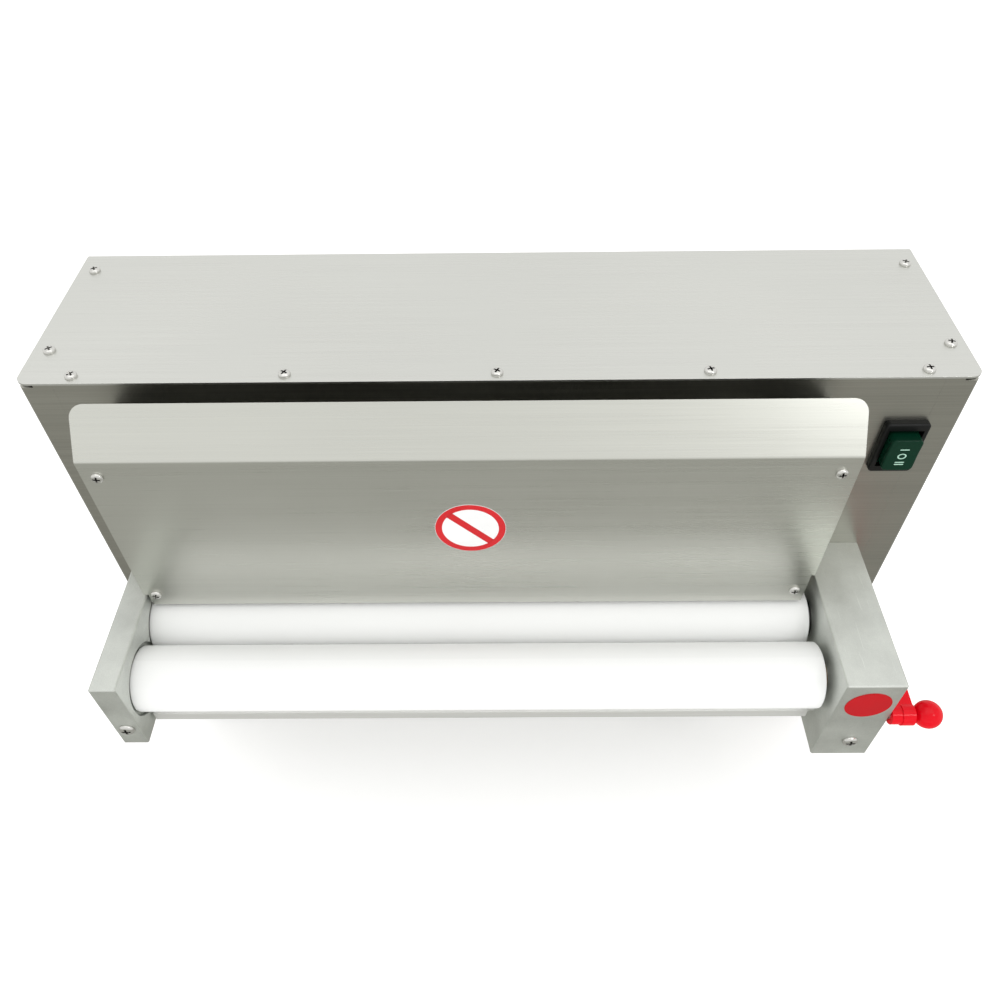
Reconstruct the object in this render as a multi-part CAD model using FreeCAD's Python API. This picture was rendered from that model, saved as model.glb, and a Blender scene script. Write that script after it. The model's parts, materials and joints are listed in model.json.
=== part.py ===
import FreeCAD, Part
import math
import os

# Bench-top dough sheeter: a sheet-steel casing on four rubber feet carries two arms.
# Between the arms a driven front roller and an adjustable rear roller form the nip.
# Working frame: X to the operator's right from mid-gap between the arms, Y away from
# the operator from the casing's front face, Z up from the table. Every node is moved
# by TO_ORIGIN on export, which puts the origin at the footprint's centre on the table.

# ---------------------------------------------------------------- driving dimensions
TO_ORIGIN = FreeCAD.Vector(-7.1, -8.362, 0.0)

OVERALL_HEIGHT = 430.0
FOOT_HEIGHT = 25.0
SHEET = 1.5                      # casing and cover sheet thickness
CASING_LEFT = -294.5
CASING_RIGHT = 319.0
CASING_DEPTH = 146.0
CASING_TOP = OVERALL_HEIGHT - SHEET
COVER_OVERHANG = 3.0
COVER_CORNER = 8.0
BEND = 3.5                       # outer bend radius of the casing's upright corners
TOP_BEND = 2.5
FLANGE = 20.0

ARM_REACH = 126.3
ARM_TOP = 263.0
LEFT_ARM_X = (-268.7, -250.0)
LEFT_ARM_HEIGHT = 76.0
RIGHT_ARM_X = (247.5, 289.1)
RIGHT_ARM_HEIGHT = 99.0

ROLLER_RADIUS = 24.0
ROLLER_AXIS_Z = 225.0
FRONT_AXIS_Y = -94.0
REAR_AXIS_Y = -43.0
ROLLER_X = (-251.5, 243.0)
SHAFT_RADIUS = 10.0
ECCENTRICITY = 4.0
JOURNAL_RADIUS = 5.5
JOURNAL_Z = ROLLER_AXIS_Z - ECCENTRICITY
FIT = 0.05                       # radial clearance of every running fit

GEAR_TEETH = 12
GEAR_TIP = 27.6
GEAR_ROOT = 20.3
GEAR_X = (259.5, 267.5)
CAVITY_Y = (-122.3, -8.0)
CAVITY_Z = (172.0, 255.0)
CAVITY_X0 = 258.0
REAR_HUB = 12.4                  # gear hub that drives the rear roller
REAR_HUB_HOLE = 15.8             # leaves room for the hub's swing as the gap changes
COVER_PLATE_X0 = 283.1
GEAR_COVER_SCREWS = ((-117.5, 250.5), (-117.5, 176.5), (-12.0, 253.5), (-12.0, 177.0))

CHAIN_PITCH = 9.525
CHAIN_LINKS = 48
SPROCKET_TEETH = 13
SPROCKET_PITCH_RADIUS = CHAIN_PITCH / (2 * math.sin(math.pi / SPROCKET_TEETH))
CHAIN_MID_X = 274.0
CHAIN_ROLLER = 3.175
CHAIN_SPAN = (CHAIN_LINKS * CHAIN_PITCH - 2 * math.pi * SPROCKET_PITCH_RADIUS) / 2
MOTOR_AXIS_Y = FRONT_AXIS_Y + CHAIN_SPAN
MOTOR_FACE_X = 250.0

PANEL_Y = -47.0                  # front face of the feed chute's upright panel
PANEL_SHEET = 1.5
PANEL_BEND_Z = 403.0
LIP_TOP_Y = -25.0
LIP_TOP_Z = 432.2
PANEL_WIDE_X = (-251.6, 239.4)
PANEL_NARROW_X = (-248.2, 236.8)
PANEL_LEFT_NOTCH_Z = 264.4
PANEL_RIGHT_NOTCH_Z = 283.2
PANEL_BOTTOM_Z = 252.6
CHUTE_SCREWS = ((-241.2, 390.0), (228.7, 389.2), (-242.0, 265.2), (228.6, 266.2))

LEVER_PIVOT_Y = REAR_AXIS_Y
LEVER_X = (290.0, 307.0)
LEVER_STEP_X = 297.5             # inner, thinner half of the lever ends here
LEVER_LENGTH = 80.3
LEVER_DROOP = 1.4                # degrees below level at rest
INDEX_STEP = 10.0                # degrees between index holes
INDEX_COUNT = 9
INDEX_HOLE_RADIUS = 3.3
PLUNGER_RADIUS = 3.0
BALL_RADIUS = 10.1
BALL_X = 317.6

SCRAPER_X = (-248.0, 241.0)
SWITCH_X = 284.5
SWITCH_Z = 368.8
FOOT_X = (-272.0, 296.0)
FOOT_Y = (18.0, 128.0)
EPS = 0.01


# ---------------------------------------------------------------- small shape helpers
def vec(x, y, z):
    return FreeCAD.Vector(x, y, z)


def box(x0, x1, y0, y1, z0, z1):
    return Part.makeBox(x1 - x0, y1 - y0, z1 - z0, vec(x0, y0, z0))


def rod_x(x0, x1, radius, y, z):
    return Part.makeCylinder(radius, x1 - x0, vec(x0, y, z), vec(1, 0, 0))


def rod_y(y0, y1, radius, x, z):
    return Part.makeCylinder(radius, y1 - y0, vec(x, y0, z), vec(0, 1, 0))


def rod_z(z0, z1, radius, x, y):
    return Part.makeCylinder(radius, z1 - z0, vec(x, y, z0), vec(0, 0, 1))


def ring_x(x0, x1, outer, inner, y, z):
    return rod_x(x0, x1, outer, y, z).cut(rod_x(x0 - 1, x1 + 1, inner, y, z))


def join(shapes):
    shapes = list(shapes)
    if len(shapes) == 1:
        return shapes[0]
    return shapes[0].multiFuse(shapes[1:]).removeSplitter()


def cut(shape, tools):
    for tool in tools:
        shape = shape.cut(tool)
    return shape


def turned_x(shape, degrees, y, z):
    turned = shape.copy()
    turned.rotate(vec(0, y, z), vec(1, 0, 0), degrees)
    return turned


def edges_where(shape, test):
    return [edge for edge in shape.Edges if test(edge)]


def straight_along(edge, axis):
    if not isinstance(edge.Curve, Part.Line):
        return False
    return abs(abs(edge.tangentAt(edge.FirstParameter).dot(axis)) - 1) < 1e-6


def profile_x(points, x0, x1):
    """A solid drawn as a closed outline in the Y-Z plane and pushed along X."""
    wire = Part.makePolygon([vec(x0, y, z) for y, z in points + points[:1]])
    return Part.Face(wire).extrude(vec(x1 - x0, 0, 0))


def pan_screw(radius, length, head_radius, head_height):
    """Cross-recessed pan-head screw along +Z, the head's underside at z = 0."""
    shank = rod_z(-length, 0.0, radius, 0, 0)
    crown = 0.45 * head_height
    head = rod_z(0.0, head_height, head_radius, 0, 0)
    rim = edges_where(head, lambda e: isinstance(e.Curve, Part.Circle)
                      and e.CenterOfMass.z > head_height - EPS)
    head = head.makeFillet(crown, rim)
    screw = join([shank, head])
    reach = 0.56 * head_radius
    slot = 0.15 * head_radius
    deep = 0.6 * head_height
    top = head_height + 1
    cross = join([box(-reach, reach, -slot, slot, head_height - deep, top),
                  box(-slot, slot, -reach, reach, head_height - deep, top)])
    return screw.cut(cross)


def place(shape, at, direction, twist=0.0):
    """Turn a shape drawn along +Z so that it points along direction, and move it."""
    placed = shape.copy()
    placed.rotate(vec(0, 0, 0), vec(0, 0, 1), twist)
    turn = FreeCAD.Rotation(vec(0, 0, 1), direction)
    placed.Placement = FreeCAD.Placement(at, turn).multiply(placed.Placement)
    return placed


def twist_for(index):
    """Each screw stops at its own angle."""
    return (37 * index + 12) % 90


def save(name, shapes):
    shapes = [s.translated(TO_ORIGIN) for s in shapes]
    solids = [solid for shape in shapes for solid in shape.Solids]
    for solid in solids:
        if not solid.isValid():
            print("not valid:", name)
    whole = solids[0] if len(solids) == 1 else Part.makeCompound(solids)
    whole.exportStep("parts/" + name + ".step")
    extent = whole.BoundBox
    print("%-26s %3d  %9.1f cm3" % (name, len(solids), sum(s.Volume for s in solids) / 1000),
          "X %.1f %.1f Y %.1f %.1f Z %.1f %.1f" % (extent.XMin, extent.XMax, extent.YMin,
                                                  extent.YMax, extent.ZMin, extent.ZMax))


# ---------------------------------------------------------------- places of fasteners
M4, M4_HEAD, M4_HIGH = 2.0, 4.0, 2.6
M5, M5_HEAD, M5_HIGH = 2.5, 5.0, 3.4
WIDE_HEAD, WIDE_HIGH = 5.6, 3.2   # broad heads on the fronts of the arms
COVER_FRONT_X = (-260.0, -123.5, 12.0, 147.5, 286.0)
COVER_SIDE_X = (-283.0, 308.7)
COVER_SIDE_Y = (30.5, 124.5)
COVER_TOP_SCREWS = ([(x, 4.2) for x in COVER_FRONT_X]
                    + [(x, y) for x in COVER_SIDE_X for y in COVER_SIDE_Y])
REAR_FLANGE_SCREWS = [(x, z) for x in (-285.0, 309.5) for z in (60.0, 215.0, 370.0)]
ARM_BOLTS = [(x, z) for x in (-259.4,) for z in (205.0, 245.0)]
RIGHT_ARM_BOLTS = [(254.2, 180.0), (254.2, 256.0), (286.0, 180.0), (286.0, 256.0)]
ARM_FRONT_SCREWS = ((-258.9, 209.6), (270.9, 186.0))
CHAIN_WINDOW = (262.0, 283.0, 196.0, 254.0)

# casing and cover
BASE_Z = FOOT_HEIGHT + SHEET
BASE_THICK = 3.0
MOUNT_FOOT_BOLTS = [(x, y) for x in (200.0, 232.0) for y in (34.0, 110.0)]

# arms
SCRAPER_PIN_Y = -103.0
SCRAPER_PIN_Z = 194.5
REAR_SCRAPER_PIN_Y = -34.0
REAR_SCRAPER_PIN_Z = 192.0
PIN_RADIUS = 3.0
BACKING = 3.0
BACKING_PLATE = (-286.0, -232.0, 190.0, 262.0)
MARKER_RADIUS, MARKER_THICK = 16.0, 0.3
MARKER_X, MARKER_Z = 268.6, 238.3

# feed chute
BRACKET_BOLTS = [(x, z) for x in (-234.0, 220.0) for z in (300.0, 370.0)]
LABEL_X, LABEL_Z, LABEL_RADIUS = -7.0, 338.0, 24.0

# switch
ROCKER_AXIS_Y = 2.0
BEZEL_PROUD = 5.0
BEZEL_HALF = (15.0, 22.2)
SLEEVE_HALF = (12.6, 17.4)
OPENING_HALF = (11.6, 16.4)
ROCKER_HALF = (10.7, 13.9)
ROCKER_FRONT_Y = -12.0
PIVOT_RADIUS = 1.4

# front roller
SPIGOT_RADIUS = 6.0

# rear roller
BEARING_OUTER = 16.0
BEARING_RACE_OUT = 14.2
BEARING_RACE_IN = 11.8
BALL = 1.15
BALL_ROW_X = (-238.0, 222.5)
BEARING_HALF = 3.5
BALLS_PER_ROW = 12
LEVER_BARREL = 7.8
LEVER_HUB, LEVER_CAP = 14.0, 8.0  # radii of the hub beside the arm and of its outer half
AXLE_SHORT = 5.5                 # the axle ends this far inside the lever's outer face
SCREW_SEAT = 3.0

# lever and plunger
PLUNGER_TIP_X = RIGHT_ARM_X[1] + 0.3

# electrics
CAPACITOR_X = (-60.0, 20.0)
CAPACITOR_Y, CAPACITOR_Z = 100.0, 49.0
GLAND_Y, GLAND_Z = 112.0, 62.0
GLAND_THREAD = 7.9
GLAND_FLANGE = 12.0
GEARBOX_HALF, GEARBOX_LENGTH = 42.0, 48.0
MOTOR_RADIUS, MOTOR_LENGTH = 36.0, 118.0
SHROUD_LENGTH = 22.0
FIN_COUNT, AIR_SLOTS = 28, 10
BUSH_RADIUS = 13.0
CORD_RADIUS = 4.0
WIRE_RADIUS = 2.6


# ---------------------------------------------------------------- casing and cover
def casing_shell():
    """Front sheet and two end sheets with return flanges, butt-welded near the front corners."""
    outer = box(CASING_LEFT, CASING_RIGHT, 0, CASING_DEPTH, FOOT_HEIGHT, CASING_TOP)
    front_corners = edges_where(outer, lambda e: straight_along(e, vec(0, 0, 1))
                                and e.CenterOfMass.y < EPS)
    outer = outer.makeFillet(BEND, front_corners)
    inner = box(CASING_LEFT + SHEET, CASING_RIGHT - SHEET, SHEET, CASING_DEPTH + 1,
                FOOT_HEIGHT - 1, CASING_TOP + 1)
    inner_corners = edges_where(inner, lambda e: straight_along(e, vec(0, 0, 1))
                                and e.CenterOfMass.y < SHEET + EPS)
    inner = inner.makeFillet(BEND - SHEET, inner_corners)
    shell = outer.cut(inner)
    # top flanges, notched at the two front corners
    notch = 9.5
    left, right = CASING_LEFT + SHEET, CASING_RIGHT - SHEET
    relief = [box(CASING_LEFT - 1, CASING_LEFT + notch, -1, notch, CASING_TOP - 4.2, CASING_TOP + 1),
              box(CASING_RIGHT - notch, CASING_RIGHT + 1, -1, notch, CASING_TOP - 4.2, CASING_TOP + 1),
              box(CASING_LEFT - 1, CASING_RIGHT + 1, CASING_DEPTH - 3, CASING_DEPTH + 1,
                  CASING_TOP - 3, CASING_TOP + 1)]
    shell = cut(shell, relief)
    front_flange = box(CASING_LEFT + notch, CASING_RIGHT - notch, EPS, FLANGE,
                       CASING_TOP - SHEET, CASING_TOP)
    side_flanges = [box(left - EPS, left + FLANGE, FLANGE + 1, CASING_DEPTH - 5,
                        CASING_TOP - SHEET, CASING_TOP),
                    box(right - FLANGE, right + EPS, FLANGE + 1, CASING_DEPTH - 5,
                        CASING_TOP - SHEET, CASING_TOP)]
    shell = join([shell, front_flange] + side_flanges)
    top_front = edges_where(shell, lambda e: straight_along(e, vec(1, 0, 0))
                            and e.CenterOfMass.y < EPS and e.CenterOfMass.z > CASING_TOP - EPS)
    shell = shell.makeFillet(TOP_BEND, top_front)
    # rear flanges that the cover's back is screwed to, and bottom flanges
    rear = CASING_DEPTH
    flanges = [box(left - EPS, left + FLANGE, rear - SHEET, rear, FOOT_HEIGHT + 4, CASING_TOP - 4),
               box(right - FLANGE, right + EPS, rear - SHEET, rear, FOOT_HEIGHT + 4, CASING_TOP - 4),
               box(left - EPS, left + FLANGE, SHEET + 4, rear - 4, FOOT_HEIGHT, FOOT_HEIGHT + SHEET),
               box(right - FLANGE, right + EPS, SHEET + 4, rear - 4, FOOT_HEIGHT, FOOT_HEIGHT + SHEET),
               box(left + 4, right - 4, SHEET - EPS, FLANGE, FOOT_HEIGHT, FOOT_HEIGHT + SHEET)]
    shell = join([shell] + flanges)
    holes = [rod_z(CASING_TOP - 6, CASING_TOP + 2, M4, x, y) for x, y in COVER_TOP_SCREWS]
    holes += [rod_y(rear - 6, rear + 2, M4, x, z) for x, z in REAR_FLANGE_SCREWS]
    holes += [rod_z(FOOT_HEIGHT - 1, FOOT_HEIGHT + 3, M5, x, y) for x in FOOT_X for y in FOOT_Y]
    holes += [rod_y(-1, 3, M5 + 0.5, x, z) for x, z in ARM_BOLTS + RIGHT_ARM_BOLTS]
    holes += [rod_y(-1, 3, M4, x, z) for x, z in BRACKET_BOLTS]
    x0, x1, z0, z1 = CHAIN_WINDOW
    holes.append(box(x0, x1, -1, 3, z0, z1))
    holes.append(switch_box((SLEEVE_HALF[0] + 0.1, SLEEVE_HALF[1] + 0.1), -1, 3))
    holes.append(rod_x(CASING_LEFT - 1, CASING_LEFT + 3, 8.0, GLAND_Y, GLAND_Z))
    shell = cut(shell, holes)
    seams = [CASING_LEFT - 1, left + FLANGE + 0.5, right - FLANGE - 0.5, CASING_RIGHT + 1]
    return [shell.common(box(x0, x1, -1, CASING_DEPTH + 1, 0, OVERALL_HEIGHT))
            for x0, x1 in zip(seams, seams[1:])]


def top_rear_cover():
    """Top and back bent from one sheet; it lifts off after its screws are out."""
    back = CASING_DEPTH + SHEET
    outer = box(CASING_LEFT, CASING_RIGHT, -COVER_OVERHANG, back, FOOT_HEIGHT + 5, OVERALL_HEIGHT)
    front_corners = edges_where(outer, lambda e: straight_along(e, vec(0, 0, 1))
                                and e.CenterOfMass.y < 0)
    outer = outer.makeFillet(COVER_CORNER, front_corners)
    bend_edge = edges_where(outer, lambda e: straight_along(e, vec(1, 0, 0))
                            and e.CenterOfMass.y > back - EPS
                            and e.CenterOfMass.z > OVERALL_HEIGHT - EPS)
    outer = outer.makeFillet(TOP_BEND + SHEET, bend_edge)
    inner = box(CASING_LEFT - 1, CASING_RIGHT + 1, -COVER_OVERHANG - 1, CASING_DEPTH,
                FOOT_HEIGHT, CASING_TOP)
    inner_edge = edges_where(inner, lambda e: straight_along(e, vec(1, 0, 0))
                             and e.CenterOfMass.y > CASING_DEPTH - EPS
                             and e.CenterOfMass.z > CASING_TOP - EPS)
    inner = inner.makeFillet(TOP_BEND, inner_edge)
    cover = outer.cut(inner)
    holes = [rod_z(CASING_TOP - 1, OVERALL_HEIGHT + 1, M4 + 0.2, x, y) for x, y in COVER_TOP_SCREWS]
    holes += [rod_y(CASING_DEPTH - 1, back + 1, M4 + 0.2, x, z) for x, z in REAR_FLANGE_SCREWS]
    # cooling slots through the back, behind the motor
    slot_x0, slot_x1, slot_high = 60.0, 150.0, 4.0
    for row in range(8):
        z = 120.0 + 14.0 * row
        slot = box(slot_x0, slot_x1, CASING_DEPTH - 1, back + 1, z, z + slot_high)
        ends = [rod_y(CASING_DEPTH - 1, back + 1, slot_high / 2, x, z + slot_high / 2)
                for x in (slot_x0, slot_x1)]
        holes.append(join([slot] + ends))
    return cut(cover, holes)


def cover_screws():
    screw = pan_screw(M4, 7.0, M4_HEAD, M4_HIGH)
    top = [place(screw, vec(x, y, OVERALL_HEIGHT), vec(0, 0, 1), twist_for(i))
           for i, (x, y) in enumerate(COVER_TOP_SCREWS)]
    back = [place(screw, vec(x, CASING_DEPTH + SHEET, z), vec(0, 1, 0), twist_for(i + 4))
            for i, (x, z) in enumerate(REAR_FLANGE_SCREWS)]
    return top + back


def base_plate():
    plate = box(CASING_LEFT + 6, CASING_RIGHT - 6, 6, CASING_DEPTH - 6, BASE_Z, BASE_Z + BASE_THICK)
    holes = [rod_z(BASE_Z - 1, BASE_Z + 4, M5, x, y) for x in FOOT_X for y in FOOT_Y]
    holes += [rod_z(BASE_Z - 1, BASE_Z + 4, M5, x, y) for x, y in MOUNT_FOOT_BOLTS]
    return cut(plate, holes)


def feet():
    made = []
    for x in FOOT_X:
        for y in FOOT_Y:
            foot = Part.makeCone(15.0, 12.5, FOOT_HEIGHT, vec(x, y, 0), vec(0, 0, 1))
            bottom = edges_where(foot, lambda e: isinstance(e.Curve, Part.Circle)
                                 and e.CenterOfMass.z < EPS)
            foot = foot.makeFillet(1.5, bottom)
            made.append(cut(foot, [rod_z(-1, 9, 6.5, x, y), rod_z(5, FOOT_HEIGHT + 1, M5, x, y)]))
    return made


def foot_screws():
    screw = pan_screw(M5, 26.0, M5_HEAD, M5_HIGH)
    nut = cut(rod_z(0, 4, 4.6, 0, 0), [rod_z(-1, 5, M5, 0, 0)])
    made = []
    for x in FOOT_X:
        for y in FOOT_Y:
            made.append(place(screw, vec(x, y, 9.0), vec(0, 0, -1), twist_for(len(made))))
            made.append(nut.translated(vec(x, y, BASE_Z + BASE_THICK)))
    return made


# ---------------------------------------------------------------- arms
def arm_block(x_range, height, chamfer=0.8):
    x0, x1 = x_range
    block = box(x0, x1, -ARM_REACH, 0, ARM_TOP - height, ARM_TOP)
    broken = edges_where(block, lambda e: e.CenterOfMass.y < -EPS - 1)
    return block.makeChamfer(chamfer, broken)


def scraper_pin_holes(x0, x1):
    return [rod_x(x0, x1, PIN_RADIUS + FIT, SCRAPER_PIN_Y, SCRAPER_PIN_Z),
            rod_x(x0, x1, PIN_RADIUS + FIT, REAR_SCRAPER_PIN_Y, REAR_SCRAPER_PIN_Z)]


def left_arm():
    arm = arm_block(LEFT_ARM_X, LEFT_ARM_HEIGHT)
    inner = LEFT_ARM_X[1]
    tools = [rod_x(inner - 4, inner + 1, ROLLER_RADIUS + 3.0, FRONT_AXIS_Y, ROLLER_AXIS_Z),
             rod_x(inner - 4, inner + 1, ROLLER_RADIUS + 3.6, REAR_AXIS_Y, ROLLER_AXIS_Z),
             rod_x(inner - 16, inner, 13.0, FRONT_AXIS_Y, ROLLER_AXIS_Z),
             rod_x(inner - 16, inner, 9.0, REAR_AXIS_Y, JOURNAL_Z)]
    tools += scraper_pin_holes(inner - 8, inner + 1)
    tools += [rod_y(-14, 1, M5, x, z) for x, z in ARM_BOLTS]
    x, z = ARM_FRONT_SCREWS[0]
    tools.append(rod_y(-ARM_REACH - 1, -ARM_REACH + 12, M5, x, z))
    return cut(arm, tools)


def right_arm():
    """Hollow casting: the gears and the chain run inside it."""
    arm = arm_block(RIGHT_ARM_X, RIGHT_ARM_HEIGHT)
    y0, y1 = CAVITY_Y
    z0, z1 = CAVITY_Z
    outer_face = RIGHT_ARM_X[1]
    cavity = box(CAVITY_X0, outer_face + 1, y0, y1, z0, z1)
    cavity = cavity.makeFillet(3.0, edges_where(cavity, lambda e: straight_along(e, vec(1, 0, 0))))
    bosses = [rod_x(CAVITY_X0 - 1, COVER_PLATE_X0, 5.6 if y < -100 else 4.4, y, z)
              for y, z in GEAR_COVER_SCREWS]
    cavity = cut(cavity, bosses)
    seat = gear_cover_blank(FIT)
    tools = [cavity, seat,
             box(CHAIN_WINDOW[0], CHAIN_WINDOW[1], y1 - 1, 1, CHAIN_WINDOW[2], CHAIN_WINDOW[3]),
             rod_x(RIGHT_ARM_X[0] - 1, CAVITY_X0 + 1, 13.0, FRONT_AXIS_Y, ROLLER_AXIS_Z),
             rod_x(RIGHT_ARM_X[0] - 1, CAVITY_X0 + 1, REAR_HUB_HOLE, REAR_AXIS_Y, ROLLER_AXIS_Z - 0.5)]
    tools += [rod_x(CAVITY_X0 + 10, outer_face + 1, M4, y, z) for y, z in GEAR_COVER_SCREWS]
    tools += scraper_pin_holes(RIGHT_ARM_X[0] - 1, RIGHT_ARM_X[0] + 9)
    tools += [rod_y(-5.5, 1, M4 - 0.4, x, z) for x, z in RIGHT_ARM_BOLTS]
    x, z = ARM_FRONT_SCREWS[1]
    tools.append(rod_y(-ARM_REACH - 1, CAVITY_Y[0] + 1, M5, x, z))
    return cut(arm, tools)


def gear_cover_blank(grow=0.0):
    plate = box(COVER_PLATE_X0, RIGHT_ARM_X[1], -124.0 - grow, -5.0 + grow, 168.0 - grow, 259.0 + grow)
    return plate.makeFillet(4.0, edges_where(plate, lambda e: straight_along(e, vec(1, 0, 0))))


def index_places():
    """Y and Z of each index hole, on an arc about the lever's pivot."""
    middle = (INDEX_COUNT - 1) / 2
    for i in range(INDEX_COUNT):
        angle = math.radians(180 + LEVER_DROOP + (i - middle) * INDEX_STEP)
        yield (LEVER_PIVOT_Y + LEVER_LENGTH * math.cos(angle),
               JOURNAL_Z + LEVER_LENGTH * math.sin(angle))


def gear_cover():
    plate = gear_cover_blank()
    face = RIGHT_ARM_X[1]
    tools = [rod_x(face - 3.4, face + 1, INDEX_HOLE_RADIUS, y, z) for y, z in index_places()]
    tools += [rod_x(COVER_PLATE_X0 - 1, face + 1, M4 + 0.2, y, z) for y, z in GEAR_COVER_SCREWS]
    tools += [Part.makeCone(M4, 3.9, 2.0, vec(face - 2.0, y, z), vec(1, 0, 0))
              for y, z in GEAR_COVER_SCREWS]
    tools.append(rod_x(COVER_PLATE_X0 - 1, COVER_PLATE_X0 + 4, 8.0, FRONT_AXIS_Y, ROLLER_AXIS_Z))
    tools.append(rod_x(COVER_PLATE_X0 - 1, face + 1, 8.0, LEVER_PIVOT_Y, JOURNAL_Z))
    return cut(plate, tools)


def gear_cover_screws():
    face = RIGHT_ARM_X[1]
    made = []
    for index, (y, z) in enumerate(GEAR_COVER_SCREWS):
        head = Part.makeCone(M4, 3.8, 1.9, vec(face - 2.0, y, z), vec(1, 0, 0))
        screw = join([rod_x(face - 14, face - 1.9, M4, y, z), head])
        cross = join([box(face - 1.2, face + 1, y - 1.9, y + 1.9, z - 0.5, z + 0.5),
                      box(face - 1.2, face + 1, y - 0.5, y + 0.5, z - 1.9, z + 1.9)])
        made.append(screw.cut(turned_x(cross, twist_for(index), y, z)))
    return made


def arm_bolts():
    """Screwed from inside the casing, through its front wall, into the arms."""
    long_bolt = pan_screw(M5, 15.0 + SHEET, M5_HEAD, M5_HIGH)
    short_bolt = pan_screw(M4 - 0.4, 5.0 + SHEET, 3.2, 2.4)
    made = [place(long_bolt, vec(x, SHEET + BACKING, z), vec(0, 1, 0), twist_for(i))
            for i, (x, z) in enumerate(ARM_BOLTS)]
    made += [place(short_bolt, vec(x, SHEET, z), vec(0, 1, 0), twist_for(i))
             for i, (x, z) in enumerate(RIGHT_ARM_BOLTS)]
    return made


def backing_plate():
    """Stiffens the front wall behind the left arm."""
    x0, x1, z0, z1 = BACKING_PLATE
    plate = box(x0, x1, SHEET, SHEET + BACKING, z0, z1)
    return cut(plate, [rod_y(0, SHEET + BACKING + 3, M5, x, z) for x, z in ARM_BOLTS])


def arm_front_screws():
    screw = pan_screw(M5, 9.0, WIDE_HEAD, WIDE_HIGH)
    short = pan_screw(M5, 3.5, WIDE_HEAD, WIDE_HIGH)
    (x0, z0), (x1, z1) = ARM_FRONT_SCREWS
    return [place(screw, vec(x0, -ARM_REACH, z0), vec(0, -1, 0), 20),
            place(short, vec(x1, -ARM_REACH, z1), vec(0, -1, 0), 65)]


def marker_disc():
    return rod_y(-ARM_REACH - MARKER_THICK, -ARM_REACH, MARKER_RADIUS, MARKER_X, MARKER_Z)


# ---------------------------------------------------------------- feed chute
def feed_chute():
    """Upright panel with a lip that leans back, bent from one sheet."""
    lip_y, lip_z = LIP_TOP_Y - PANEL_Y, LIP_TOP_Z - PANEL_BEND_Z
    length = math.hypot(lip_y, lip_z)
    lean = math.atan2(lip_y, lip_z)
    inner_y = PANEL_Y + PANEL_SHEET
    inner_bend_z = PANEL_BEND_Z - PANEL_SHEET * math.tan(lean / 2)
    normal = (lip_z / length * PANEL_SHEET, -lip_y / length * PANEL_SHEET)
    section = [(PANEL_Y, PANEL_BOTTOM_Z), (PANEL_Y, PANEL_BEND_Z), (LIP_TOP_Y, LIP_TOP_Z),
               (LIP_TOP_Y + normal[0], LIP_TOP_Z + normal[1]), (inner_y, inner_bend_z),
               (inner_y, PANEL_BOTTOM_Z)]
    sheet = profile_x(section, *PANEL_WIDE_X)
    bend = edges_where(sheet, lambda e: straight_along(e, vec(1, 0, 0))
                       and abs(e.CenterOfMass.y - PANEL_Y) < EPS
                       and abs(e.CenterOfMass.z - PANEL_BEND_Z) < EPS)
    sheet = sheet.makeFillet(4.0, bend)
    corners = []
    round_radius = 9.0
    for x in PANEL_WIDE_X:
        corner = edges_where(sheet, lambda e: e.Length < 2 and abs(e.CenterOfMass.x - x) < EPS
                             and e.CenterOfMass.z > LIP_TOP_Z - 2)
        corners += corner
    sheet = sheet.makeFillet(round_radius, corners)
    (wide0, wide1), (narrow0, narrow1) = PANEL_WIDE_X, PANEL_NARROW_X
    notches = [box(wide0 - 1, narrow0, PANEL_Y - 1, 0, PANEL_BOTTOM_Z - 1, PANEL_LEFT_NOTCH_Z),
               box(narrow1, wide1 + 1, PANEL_Y - 1, 0, PANEL_BOTTOM_Z - 1, PANEL_RIGHT_NOTCH_Z)]
    notches += [rod_y(PANEL_Y - 1, PANEL_Y + 3, M4, x, z) for x, z in CHUTE_SCREWS]
    return cut(sheet, notches)


def chute_brackets():
    """Folded angle at each side that holds the chute off the casing's front."""
    made = []
    back = PANEL_Y + PANEL_SHEET
    for side, x_web in ((1, -248.2), (-1, 236.6)):
        x_in = x_web + side * 1.5
        x_tab = x_web + side * 20.0
        low = 254.0
        web = box(min(x_web, x_in), max(x_web, x_in), back, 0, low, 398.0)
        front_tab = box(min(x_web, x_tab), max(x_web, x_tab), back, back + 1.5, low, 398.0)
        rear_tab = box(min(x_web, x_tab), max(x_web, x_tab), -1.5, 0, 285.0, 398.0)
        relief = box(min(x_web, x_tab) - 1, max(x_web, x_tab) + 1, -31.0, 1, low - 1, 283.0)
        bracket = join([web, front_tab, rear_tab]).cut(relief)
        holes = [rod_y(back - 1, back + 3, M4, x, z) for x, z in CHUTE_SCREWS]
        holes += [rod_y(-3, 1, M4, x, z) for x, z in BRACKET_BOLTS]
        made.append(cut(bracket, holes))
    return made


def chute_screws():
    screw = pan_screw(M4, 7.0, M4_HEAD, M4_HIGH)
    front = [place(screw, vec(x, PANEL_Y, z), vec(0, -1, 0), twist_for(i + 2))
             for i, (x, z) in enumerate(CHUTE_SCREWS)]
    back = [place(screw, vec(x, -1.5, z), vec(0, -1, 0), twist_for(i))
            for i, (x, z) in enumerate(BRACKET_BOLTS)]
    return front + back


def safety_label():
    return rod_y(PANEL_Y - 0.2, PANEL_Y, LABEL_RADIUS, LABEL_X, LABEL_Z)


# ---------------------------------------------------------------- switch
def switch_box(half, y0, y1):
    """Block centred on the switch, half = (half width, half height)."""
    return box(SWITCH_X - half[0], SWITCH_X + half[0], y0, y1, SWITCH_Z - half[1], SWITCH_Z + half[1])


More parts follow.
